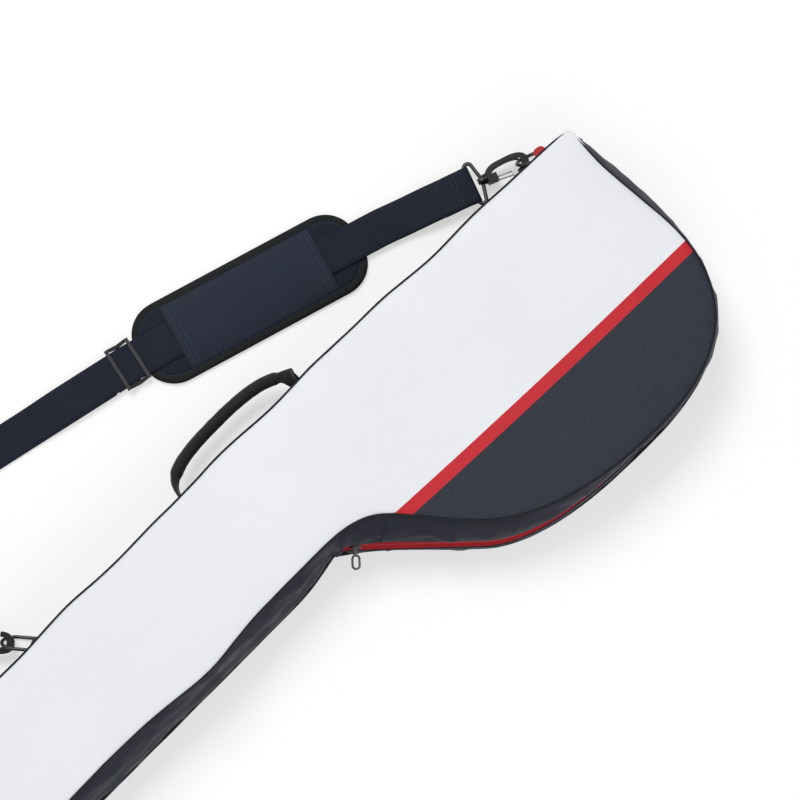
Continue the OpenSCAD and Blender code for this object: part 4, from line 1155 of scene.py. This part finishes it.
# from the upper loop to the first bend, and how far the pad and the adjuster slide
UPPER_RUN, PAD_TRAVEL, ADJUSTER_TRAVEL = 98.4, 14, 40
# where a hook's eye ends, the play of the ring in it, and the ring's straight leg
EYE_END, RING_SLACK, RING_LEG = 55.2, 3.2, 17
# the upper ring below the top, the lower ring below the upper, and how far each stands off the spine
RING_DROP, RING_SPACING, UPPER_OFF, LOWER_OFF = 32, 699, 8.3, 9.5


def meet(p, a, q, b):
    """Where the line through p heading a meets the line through q heading b."""
    d, e, gap = heading(a), heading(b), q - p
    return p + d * (gap[0] * e[1] - gap[1] * e[0]) / (d[0] * e[1] - d[1] * e[0])


def chain(s):
    """Places along the strap, in plan."""
    k = SimpleNamespace()
    ring_bar = EYE_END - RING_SLACK - s.ring_wire / 2 + (s.ring_in_w + s.ring_wire) / 2 + RING_LEG
    k.upper_y = s.top_y - RING_DROP
    k.lower_y = k.upper_y - RING_SPACING
    upper_end = np.array([spine_edge(s, k.upper_y) - UPPER_OFF, k.upper_y])
    lower_end = np.array([spine_edge(s, k.lower_y) - LOWER_OFF, k.lower_y])
    k.upper = upper_end - heading(UPPER_HEADING) * ring_bar
    k.lower = lower_end - heading(LOWER_HEADING) * ring_bar
    k.bend = k.upper - heading(UPPER_HEADING) * UPPER_RUN
    k.pad = k.bend - heading(PAD_HEADING) * (s.pad_len / 2 + PAD_TRAVEL + 11)
    k.low_bend = k.pad - heading(PAD_HEADING) * (s.pad_len / 2 + 4)
    k.turn = meet(k.low_bend, TAIL_HEADING, k.lower, LOWER_HEADING)
    k.turn_line = (TAIL_HEADING + 180 + LOWER_HEADING) / 2
    k.turn_z = FLOOR_Z + 2 * s.web_t + 0.25
    k.bore = s.loop_wire / 2 + 0.2
    return k


def drape(rows, pitch=4.0):
    """[distance, height] every pitch along rows of the same, eased from row to row."""
    out = []
    for (x0, z0), (x1, z1) in zip(rows, rows[1:]):
        n = max(4, round(abs(x1 - x0) / pitch))
        t = np.arange(n) / n
        out.append(np.stack([mix(x0, x1, t), mix(z0, z1, (1 - np.cos(np.pi * t)) / 2)], 1))
    return np.concatenate(out + [np.array([rows[-1]], float)])


def roll(z, r, n=12):
    """[distance, height] of a half turn round a bar, from below it to above it."""
    a = np.radians(np.linspace(-90, 90, n + 2)[1:-1])
    return np.stack([np.cos(a) * r, z + np.sin(a) * r], 1)


def eye(s, k):
    """[distance, height] round a loop's bar."""
    return roll(CHAIN_Z - s.web_t / 2, k.bore + s.web_t / 2)


def laid(s, line, start, angle):
    """Plan places, and heights of the webbing's middle, of [distance, height] rows along a heading."""
    return start + line[:, :1] * heading(angle), line[:, 1] + s.web_t / 2


def past_turn(s, k, start):
    """Distance along the webbing from a place to just past the turn."""
    return -np.linalg.norm(k.turn - start) - s.web_w


def ribbon(s, k, name, plan, z, angles, still, kept, node):
    """Webbing square to its headings, cut off at the turn; still takes its waves away."""
    path = lifted(plan, z)
    run, angles = spans(path), np.radians(np.broadcast_to(angles, z.shape))
    path[:, 2] += 0.16 * (1 - still) * np.array([ripple(r / 45, 0.5, 2) for r in run])
    side = np.stack([-np.sin(angles), np.cos(angles), 0 * angles], 1)
    curl = np.array([ripple(r / 60, 3.5, 7) for r in run]) * 0.25

    def ring(i):
        r = web_ring(s.web_w, s.web_t)
        r[:, 1] += curl[i] * (r[:, 0] / (s.web_w / 2)) ** 2 * 0.5
        return r

    strip, across = swept(name, path, side, ring, "webbing"), heading(k.turn_line + 90)
    away = -across * np.sign(across @ (kept - k.turn))
    cut(strip, Vector((*k.turn / 1000, 0)), Vector((*away, 0)))
    settle(strip, "case", "webbing", node)


def strap_upper(s, k):
    """The strap from the upper loop, under the pad's sleeve and through the adjuster, to the turn."""
    z, t = CHAIN_Z, s.web_t
    under = drape([[-36, z - 3.1 - t], [-10, z - t], [0, z - k.bore - t]])
    over = drape([[0, z + k.bore], [-10, z], [-34, z - 3], [12 - UPPER_RUN, WEB_Z], [-UPPER_RUN, WEB_Z]])
    looped = np.concatenate([under, eye(s, k), over])
    pad_run = np.linalg.norm(k.low_bend - k.bend)
    level_to, tail_z = 20 + ADJUSTER_TRAVEL + 14, FLOOR_Z + 1.6
    tail_end = past_turn(s, k, k.low_bend)
    sinking = [[0, WEB_Z], [-level_to, WEB_Z], [-level_to - 60, tail_z], [tail_end, tail_z]]
    parts = [
        (looped, k.upper, UPPER_HEADING),
        (drape([[0, WEB_Z], [-pad_run, WEB_Z]], 6)[1:], k.bend, PAD_HEADING),
        (drape(sinking, 6)[1:], k.low_bend, TAIL_HEADING),
    ]
    plan, heights = (np.concatenate(rows) for rows in zip(*(laid(s, *part) for part in parts)))
    angles = np.repeat([angle for _, _, angle in parts], [len(line) for line, _, _ in parts])
    # its bends are eased, and what lies in the loop stays as it is
    start, kernel = len(under) + len(eye(s, k)) + 8, np.ones(5) / 5
    for _ in range(2):
        for row in (plan[:, 0], plan[:, 1], angles):
            row[start:-2] = np.convolve(row, kernel, "same")[start:-2]
    ribbon(s, k, "strap_upper", plan, heights, angles, 0.6, k.low_bend, "shoulder_strap")


def strap_under(s, k):
    """The strap's loose end, flat on the surface under the rest."""
    line = drape([[-34, FLOOR_Z], [past_turn(s, k, k.low_bend), FLOOR_Z]], 8)
    plan, heights = laid(s, line, k.low_bend, TAIL_HEADING)
    ribbon(s, k, "strap_under", plan, heights, TAIL_HEADING, 1.0, k.low_bend, "strap_tail")


def strap_back(s, k):
    """The strap from the turn to the lower loop, round its bar and back."""
    z, t, end = CHAIN_Z, s.web_t, past_turn(s, k, k.lower)
    low_z, high_z = k.turn_z + 0.15, k.turn_z + 0.25 + t
    under = drape([[end, low_z], [-60, low_z], [-12, z - t - 0.1], [0, z - k.bore - t]], 6)
    over = drape([[0, z + k.bore], [-12, z], [-60, high_z], [end, high_z]], 6)
    plan, heights = laid(s, np.concatenate([under, eye(s, k), over]), k.lower, LOWER_HEADING)
    ribbon(s, k, "strap_back", plan, heights, LOWER_HEADING, 0.8, k.lower, "strap_return")


def strap_folds(s, k):
    """The two layers turned over where the strap changes direction."""
    width = s.web_w / abs(math.sin(math.radians(k.turn_line - TAIL_HEADING)))
    base, up = np.array([*k.turn, k.turn_z]), np.array([0, 0, 1])
    line, out = (np.array([*heading(k.turn_line + turn), 0]) for turn in (0, 90))
    a = np.radians(np.linspace(-92, 92, 15))
    arc = np.stack([np.cos(a), np.sin(a)], 1)
    for i, r in enumerate((0.15, 0.25 + s.web_t)):
        section = np.concatenate([arc * (r + s.web_t), (arc * r)[::-1]])
        bent = section[:, :1] * out + section[:, 1:] * up
        verts, faces = loft([base + line * e + bent for e in np.linspace(-width / 2, width / 2, 8)])
        fold = make("strap_fold_%d" % (i + 1), verts, faces, ["webbing"])
        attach(fold, "case")


class CASE_OT_straps(bpy.types.Operator):
    """Builds the shoulder strap's webbing, from loop to loop"""

    bl_idname = "case.straps"
    bl_label = "Strap webbing"

    def execute(self, context):
        s, k = sizes(), chain(sizes())
        for part in (strap_upper, strap_under, strap_back, strap_folds):
            part(s, k)
        hem = soft_copy("strap_end", "strap_hem", "webbing", TAIL_HEADING, 0.4)
        settle(hem, "strap_slide", "webbing", "strap_end")
        for where, angle in (("upper", UPPER_HEADING), ("lower", LOWER_HEADING)):
            tab = soft_copy("ring_tab_" + where, "ring_strap_" + where, "webbing", angle)
            settle(tab, "case", "webbing", "ring_tab_" + where)
        return {"FINISHED"}


# ---- shoulder pad ----

# what lies over or under the strap's webbing stays this far off it
WEB_GAP = 0.4
PAD_Z, PAD_CORNER = 0.3, 34
PAD_T = WEB_Z - WEB_GAP - PAD_Z
# rings of the cushion: how far in from the pad's edge, and the rise as a share of its thickness
CUSHION = (
    (6.0, 0.12),
    (7.0, 0.3),
    (9.0, 0.38),
    (12.0, 0.42),
    (17.0, 0.44),
    (23.0, 0.45),
    (29.0, 0.45),
    (33.0, 0.45),
)


def pad_place(s):
    """A function from the pad's own frame to the case's."""
    k = chain(s)
    c, n = heading(PAD_HEADING)
    turn = np.array([[c, -n, 0], [n, c, 0], [0, 0, 1]])
    return lambda p: np.asarray(p, float) @ turn.T + [*k.pad, 0]


def pad_line(s, inset, pitch, per_corner=10):
    """Closed plan line of the pad's rounded outline, moved in by inset."""
    x, y, r = s.pad_len / 2 - PAD_CORNER, s.pad_w / 2 - PAD_CORNER, PAD_CORNER - inset
    line = []
    for cx, cy, a0 in ((x, -y, -90), (x, y, 0), (-x, y, 90), (-x, -y, 180)):
        line += [np.array([cx, cy]) + r * heading(a0 + 90 * i / per_corner) for i in range(per_corner + 1)]
    line = np.array(line + [line[0]])
    n = round(spans(line)[-1] / pitch)
    return along(line, np.arange(n) / n)


def sleeve_section(s, n=22):
    """Outer and inner arch of the sleeve, from one side to the other."""
    base, roof = WEB_Z - WEB_GAP, WEB_Z + s.web_t + WEB_GAP
    crown, half, tunnel = roof + 2.2, s.sleeve_w / 2 + 3.6, s.web_w / 2 + 1.2
    y = -np.cos(np.pi * np.arange(n + 1) / n)
    outer = np.stack([y * half, base + (crown - base) * (1 - np.abs(y) ** 3.4) ** 0.8], 1)
    inner = np.stack([y * tunnel, base + (roof - base) * (1 - np.abs(y) ** 10) ** (1 / 3)], 1)
    return outer, inner


def inflate(obj, pressure, frames, cap):
    """Swells a closed piece by a short cloth simulation, each point moved at most cap millimetres."""
    scene = bpy.context.scene
    before = points_of(obj.data)
    modifier = obj.modifiers.new("Cloth", "CLOTH")
    c = modifier.settings
    c.quality, c.mass = 6, 0.25
    c.tension_stiffness = c.compression_stiffness = 25
    c.shear_stiffness, c.bending_stiffness = 12, 1.2
    c.use_pressure, c.uniform_pressure_force = True, pressure
    c.effector_weights.gravity = 0
    modifier.point_cache.frame_start, modifier.point_cache.frame_end = 1, frames
    for i in range(1, frames + 1):
        scene.frame_set(i)
    graph = bpy.context.evaluated_depsgraph_get()
    mesh = bpy.data.meshes.new_from_object(obj.evaluated_get(graph), depsgraph=graph)
    move = points_of(mesh) - before
    size = np.linalg.norm(move, axis=1, keepdims=True)
    move *= np.minimum(1, cap / 1000 / np.maximum(size, 1e-9))
    obj.modifiers.clear()
    bpy.data.meshes.remove(mesh)
    obj.data.vertices.foreach_set("co", (before + move).ravel())
    obj.data.update()
    scene.frame_set(1)


def pad_cushion(s, place):
    """Foam under the strap: rings of the outline closing in on its middle line, top and bottom."""
    insets, rise = zip(*CUSHION)
    lines = [pad_line(s, inset, 4.2) for inset in insets]
    n, mid = len(lines[0]), PAD_Z + PAD_T / 2
    lines = [along(np.concatenate([line, line[:1]]), np.arange(n) / n) for line in lines]
    top = [lifted(line, mid + r * PAD_T) for line, r in zip(lines, rise)]
    rows = top[::-1] + [lifted(line, mid - r * PAD_T) for line, r in zip(lines, rise)]
    faces = bands(len(rows), n) + [tuple(range(n)), tuple(range((len(rows) - 1) * n, len(rows) * n))]
    cushion = make("pad_cushion", place(np.concatenate(rows)), faces, ["foam"])
    with reworked(cushion.data) as bm:
        bmesh.ops.triangulate(bm, faces=[f for f in bm.faces if len(f.verts) > 4])
    inflate(cushion, 3.0, 16, 1.2)
    co = points_of(cushion.data)
    co[:, 2] = np.clip(co[:, 2], (PAD_Z - 0.15) / 1000, (WEB_Z - 0.3) / 1000)
    cushion.data.vertices.foreach_set("co", co.ravel())
    settle(cushion, "shoulder_pad", "pad_foam", "pad_base")


def pad_edge(s, place):
    """The tape that binds the pad's edge."""
    line = pad_line(s, s.binding_w / 2, 4.0)
    away = np.roll(line, -1, 0) - np.roll(line, 1, 0)
    away = np.stack([away[:, 1], -away[:, 0]], 1) / np.linalg.norm(away, axis=1, keepdims=True)
    thick = PAD_T - 1.2
    path = lifted(line, PAD_Z + 0.4 + thick / 2)
    fat = 1 + 0.06 * wander(path, 8, 2.0) + 0.04 * wander(path, 3, 5.0)

    def ring(i):
        return round_ring(s.binding_w * 1.02, thick * fat[i] * 1.12, 16, 2.5)

    binding = swept("pad_edge", path, lifted(away, 0), ring, "binding", True, place, 1.6)
    settle(binding, "shoulder_pad", "pad_binding", "pad_binding")


def pad_sleeve(s, place):
    """The padded sleeve that the strap runs through, hemmed at both ends."""
    outer, inner = sleeve_section(s)
    rings, uv = [], []
    # rings close together at both ends, where the hem's edge is rounded
    for x in s.sleeve_len / 2 * np.concatenate([[-1, -0.992], np.linspace(-0.97, 0.97, 44), [0.992, 1]]):
        edge = (s.sleeve_len / 2 - abs(x)) / 10
        o = outer.copy()
        o[:, 1] -= 0.5 * math.exp(-edge * 8) * (o[:, 1] > 7)
        hem = 0.45 * hump(edge, 0.55, 0.12) + 0.3 * hump(edge, 1.05, 0.12)
        wave = [ripple(x / 24, y / 11, 3) * 0.45 + ripple(x / 9, y / 7, 8) * 0.16 for y in o[:, 0]]
        arch = smooth((s.sleeve_w / 2 + 2 - np.abs(o[:, 0])) / 8)
        o[:, 1] += (np.array(wave) - hem) * arch
        o[:, 0] *= 1 + 0.012 * ripple(x / 30, 1, 1)
        ring = np.concatenate([o, inner[::-1]])
        rings.append(place(np.concatenate([np.full((len(ring), 1), x), ring], 1)))
        uv.append(np.stack([ring[:, 0], np.full(len(ring), x)], 1))
    verts, faces = loft(rings)
    sleeve = make("pad_sleeve_cover", verts, faces, ["sleeve"], uv=np.concatenate(uv))
    settle(sleeve, "shoulder_pad", "pad_cover", "pad_sleeve")


class CASE_OT_pad(bpy.types.Operator):
    """Builds the shoulder pad: cushion, binding and sleeve"""

    bl_idname = "case.pad"
    bl_label = "Shoulder pad"

    def execute(self, context):
        s = sizes()
        for part in (pad_cushion, pad_edge, pad_sleeve):
            part(s, pad_place(s))
        return {"FINISHED"}


# ---- stitching ----


def box_run(corners, n=12):
    """A closed run of straight lines through corners."""
    corners = np.array(corners, float)
    pairs = zip(corners, np.roll(corners, -1, 0))
    pts = [mix(a, b, i / n) for a, b in pairs for i in range(n)]
    return np.array(pts + [pts[0]])


def pad_stitches(s):
    """Two rows across each end of the sleeve and one round the pad."""
    place = pad_place(s)
    outer, _ = sleeve_section(s, 40)
    rows = outer[np.abs(outer[:, 0]) < s.sleeve_w / 2 - 3]
    runs = []
    for end in (-1, 1):
        for back in (5.5, 10.5):
            x = end * (s.sleeve_len / 2 - back)
            runs.append((place(np.concatenate([np.full((len(rows), 1), x), rows - [0, 0.1]], 1)), UP))
    edge = pad_line(s, s.binding_w - 1.4, 3)
    return runs + [(place(lifted(np.concatenate([edge, edge[:1]]), WEB_Z - 1.2)), UP)]


def wall_stitches(s, start, end, z):
    """A row along the gusset, beside the zip."""
    c = columns(s, start, end, 4)
    return on_wall(s, c, z, 0.1), lifted(Outline(s, 1).out(c), 0)


def anchor_stitches(s):
    """A box on each of the handle's anchors."""
    top, inset, gap = handle_places(s)[0], 4, ANCHOR_T + 0.1
    w, z, low = ANCHOR_W / 2 - 3, s.case_depth / 2, top - s.handle_len
    first, last = ANCHOR_FROM + inset, ANCHOR_TO - inset
    runs = []
    for y0, y1 in ((top + first, top + last), (low - last, low - first)):
        x0, x1 = spine_edge(s, y0) - gap, spine_edge(s, y1) - gap
        corners = [(x0, y0, z - w), (x1, y1, z - w), (x1, y1, z + w), (x0, y0, z + w)]
        runs.append((box_run(corners), OUT_OF_SPINE))
    return runs


def loop_stitches(s, k):
    """Rows across the webbing, each a distance before a loop, where it is sewn shut and drops away."""
    drop = CHAIN_Z - (FLOOR_Z + 3 * s.web_t + 0.5)
    across = np.linspace(4 - s.web_w / 2, s.web_w / 2 - 4, 12)
    runs = []
    for at, angle, rows, level, reach, fall in (
        (k.upper, UPPER_HEADING, (-14, -18, -33), 10, 24, 3),
        (k.lower, LOWER_HEADING, (-16, -21), 12, 48, drop),
    ):
        for x in rows:
            eased = (1 - math.cos(math.pi * min(1, max(0, (-x - level) / reach)))) / 2
            z = CHAIN_Z + s.web_t + 0.05 - fall * eased
            plan = at + heading(angle) * x + across[:, None] * heading(angle + 90)
            runs.append((lifted(plan, z), UP))
    return runs


def ring_stitches(s, k):
    """Two rows along the webbing that holds the lower ring to the spine."""
    ys = np.linspace(k.lower_y - 74, k.lower_y - 16, 30)
    plan = np.stack([spine_edge(s, ys) - 2.9, ys], 1)
    return [(lifted(plan, CHAIN_Z + 6 + side * 8), OUT_OF_SPINE) for side in (-1, 1)]


class CASE_OT_stitching(bpy.types.Operator):
    """Sews the visible stitch lines"""

    bl_idname = "case.stitching"
    bl_label = "Stitching"

    def execute(self, context):
        s, k = sizes(), chain(sizes())
        low, high = s.band_lo - 2.2, s.band_hi + 2.2
        sewn = [wall_stitches(s, ZIP + 0.1, CORNER - 0.1, low), wall_stitches(s, ZIP + 0.1, FLAP - 0.1, high)]
        sewn += anchor_stitches(s) + loop_stitches(s, k) + ring_stitches(s, k)
        on_flap = [wall_stitches(s, FLAP + 0.2, CORNER - 0.2, high)]
        size, pitch = (s.stitch, 0.55, 0.45), s.stitch * 1.35
        for name, runs, seed, body, slot in (
            ("pad_stitches", pad_stitches(s), 5, "shoulder_pad", "pad_cover"),
            ("case_stitches", sewn, 7, "case", "gusset"),
            ("flap_stitches", on_flap, 9, "head_flap", "gusset"),
        ):
            obj = repeated(name, "stitch", runs, "thread", pitch, size, 0.08, seed)
            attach(obj, body)
        return {"FINISHED"}


# ---- metal ----


class CASE_OT_metal(bpy.types.Operator):
    """Gives the metal fittings their finishes"""

    bl_idname = "case.metal"
    bl_label = "Metal fittings"

    def execute(self, context):
        groups = {
            "gunmetal": ("strap_loop_upper", "strap_loop_lower", "d_ring_upper", "d_ring_lower"),
            "painted": ("strap_adjuster",),
            "cast": ("snap_hook_upper", "snap_hook_lower"),
            "bright wire": ("hook_gate_upper", "hook_gate_lower"),
            "zip metal": ("zip_slider", "zip_puller"),
        }
        for name, nodes in groups.items():
            for node in nodes:
                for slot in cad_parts[node].material_slots:
                    slot.material = finish_of(name)
        return {"FINISHED"}


# ---- stage ----


def looking(tree):
    """1 for what the camera sees, straight or in a reflection, and 0 for the light that falls on things."""
    rays = wired(tree, "ShaderNodeLightPath").outputs
    value = rays["Is Camera Ray"]
    for kind in ("Is Glossy Ray", "Is Transmission Ray"):
        value = wired(tree, "ShaderNodeMath", {0: value, 1: rays[kind]}, operation="MAXIMUM").outputs[0]
    return value


def lay_floor(half=12.0):
    """A wide pale sheet just under the case, that glows a little for the camera alone."""
    mesh = bpy.data.meshes.new("floor")
    corners = [(-half, -half, 0), (half, -half, 0), (half, half, 0), (-half, half, 0)]
    mesh.from_pydata(corners, [], [(0, 1, 2, 3)])
    mat = bpy.data.materials.new("floor")
    mat.use_nodes = True
    tree = mat.node_tree
    matt = tree.nodes["Principled BSDF"]
    feed(tree, matt.inputs["Base Color"], (0.93, 0.93, 0.935, 1))
    feed(tree, matt.inputs["Roughness"], 0.9)
    feed(tree, matt.inputs["Specular IOR Level"], 0.1)
    glow = wired(tree, "ShaderNodeEmission", {"Strength": 1.12})
    share = wired(tree, "ShaderNodeMath", {0: looking(tree), 1: 0.5}, operation="MULTIPLY")
    both = wired(tree, "ShaderNodeMixShader", {0: share.outputs[0], 1: matt.outputs[0], 2: glow.outputs[0]})
    tree.links.new(both.outputs[0], tree.nodes["Material Output"].inputs["Surface"])
    mesh.materials.append(mat)
    floor = linked("floor", mesh)
    floor.location.z = -0.0004


def light_up(scene):
    """A pale world, a large lamp over the spine side and a weaker one across from it."""
    world = bpy.data.worlds.new("studio")
    scene.world = world
    world.use_nodes = True
    tree = world.node_tree
    sky = tree.nodes["Background"].inputs
    ends = {"To Min": 0.4, "To Max": 1.02}
    level = wired(tree, "ShaderNodeMapRange", {"Value": looking(tree), **ends})
    feed(tree, sky["Strength"], level.outputs["Result"])
    feed(tree, sky["Color"], (0.98, 0.99, 1.0, 1))
    for name, place, aim, size, power in (
        ("key", (-1.7, 0.7, 3.3), (0.0, 0.1, 0.0), 1.5, 76.0),
        ("fill", (1.8, -0.6, 2.0), (0.0, 0.1, 0.0), 2.0, 19.0),
    ):
        data = bpy.data.lights.new(name, "AREA")
        data.size, data.energy = size, power
        lamp = linked(name, data)
        lamp.location = place
        lamp.rotation_euler = (Vector(aim) - Vector(place)).to_track_quat("-Z", "Y").to_euler()


def set_camera(scene):
    """A long lens high above the case, turned so that the case lies along the view's diagonal."""
    data = bpy.data.cameras.new("camera")
    data.lens, data.sensor_width, data.clip_end = 112, 36, 60
    eye, target = Vector((0.2493, 0.0841, 2.4369)), Vector((0.0173, 0.3185, 0.09))
    back = (eye - target).normalized()
    right = Vector((0.7108, 0.7034, 0))
    right = (right - back * right.dot(back)).normalized()
    turn = Matrix((right, back.cross(right), back)).transposed()
    camera = linked("camera", data)
    camera.matrix_world = Matrix.Translation(eye) @ turn.to_4x4()
    scene.camera = camera


class CASE_OT_stage(bpy.types.Operator):
    """Sets the floor, the lights and the camera"""

    bl_idname = "case.stage"
    bl_label = "Stage"

    def execute(self, context):
        lay_floor()
        light_up(context.scene)
        set_camera(context.scene)
        context.scene.view_settings.view_transform = "Standard"
        return {"FINISHED"}


STEPS = [
    CASE_OT_front,
    CASE_OT_walls,
    CASE_OT_piping,
    CASE_OT_zip,
    CASE_OT_handle,
    CASE_OT_straps,
    CASE_OT_pad,
    CASE_OT_stitching,
    CASE_OT_metal,
    CASE_OT_stage,
]


class CASE_PT_tools(bpy.types.Panel):
    """Lists the steps and the settings"""

    bl_idname = "CASE_PT_tools"
    bl_label = "Club Carry Case"
    bl_space_type = "VIEW_3D"
    bl_region_type = "UI"
    bl_category = "Case"

    def draw(self, context):
        scene = context.scene
        for step in STEPS:
            self.layout.operator(step.bl_idname)
        for group, owner in ((CaseSizes, scene.case_sizes), (CaseColours, scene.case_colours)):
            for key in group.__annotations__:
                self.layout.prop(owner, key)


CLASSES = [CaseSizes, CaseColours, *STEPS, CASE_PT_tools]


def register():
    for cls in CLASSES:
        bpy.utils.register_class(cls)
    bpy.types.Scene.case_sizes = bpy.props.PointerProperty(type=CaseSizes)
    bpy.types.Scene.case_colours = bpy.props.PointerProperty(type=CaseColours)


def unregister():
    del bpy.types.Scene.case_sizes
    del bpy.types.Scene.case_colours
    for cls in reversed(CLASSES):
        bpy.utils.unregister_class(cls)


def main():
    register()
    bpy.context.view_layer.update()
    for step in STEPS:
        group, name = step.bl_idname.split(".")
        getattr(getattr(bpy.ops, group), name)()


if __name__ == "__main__":
    main()
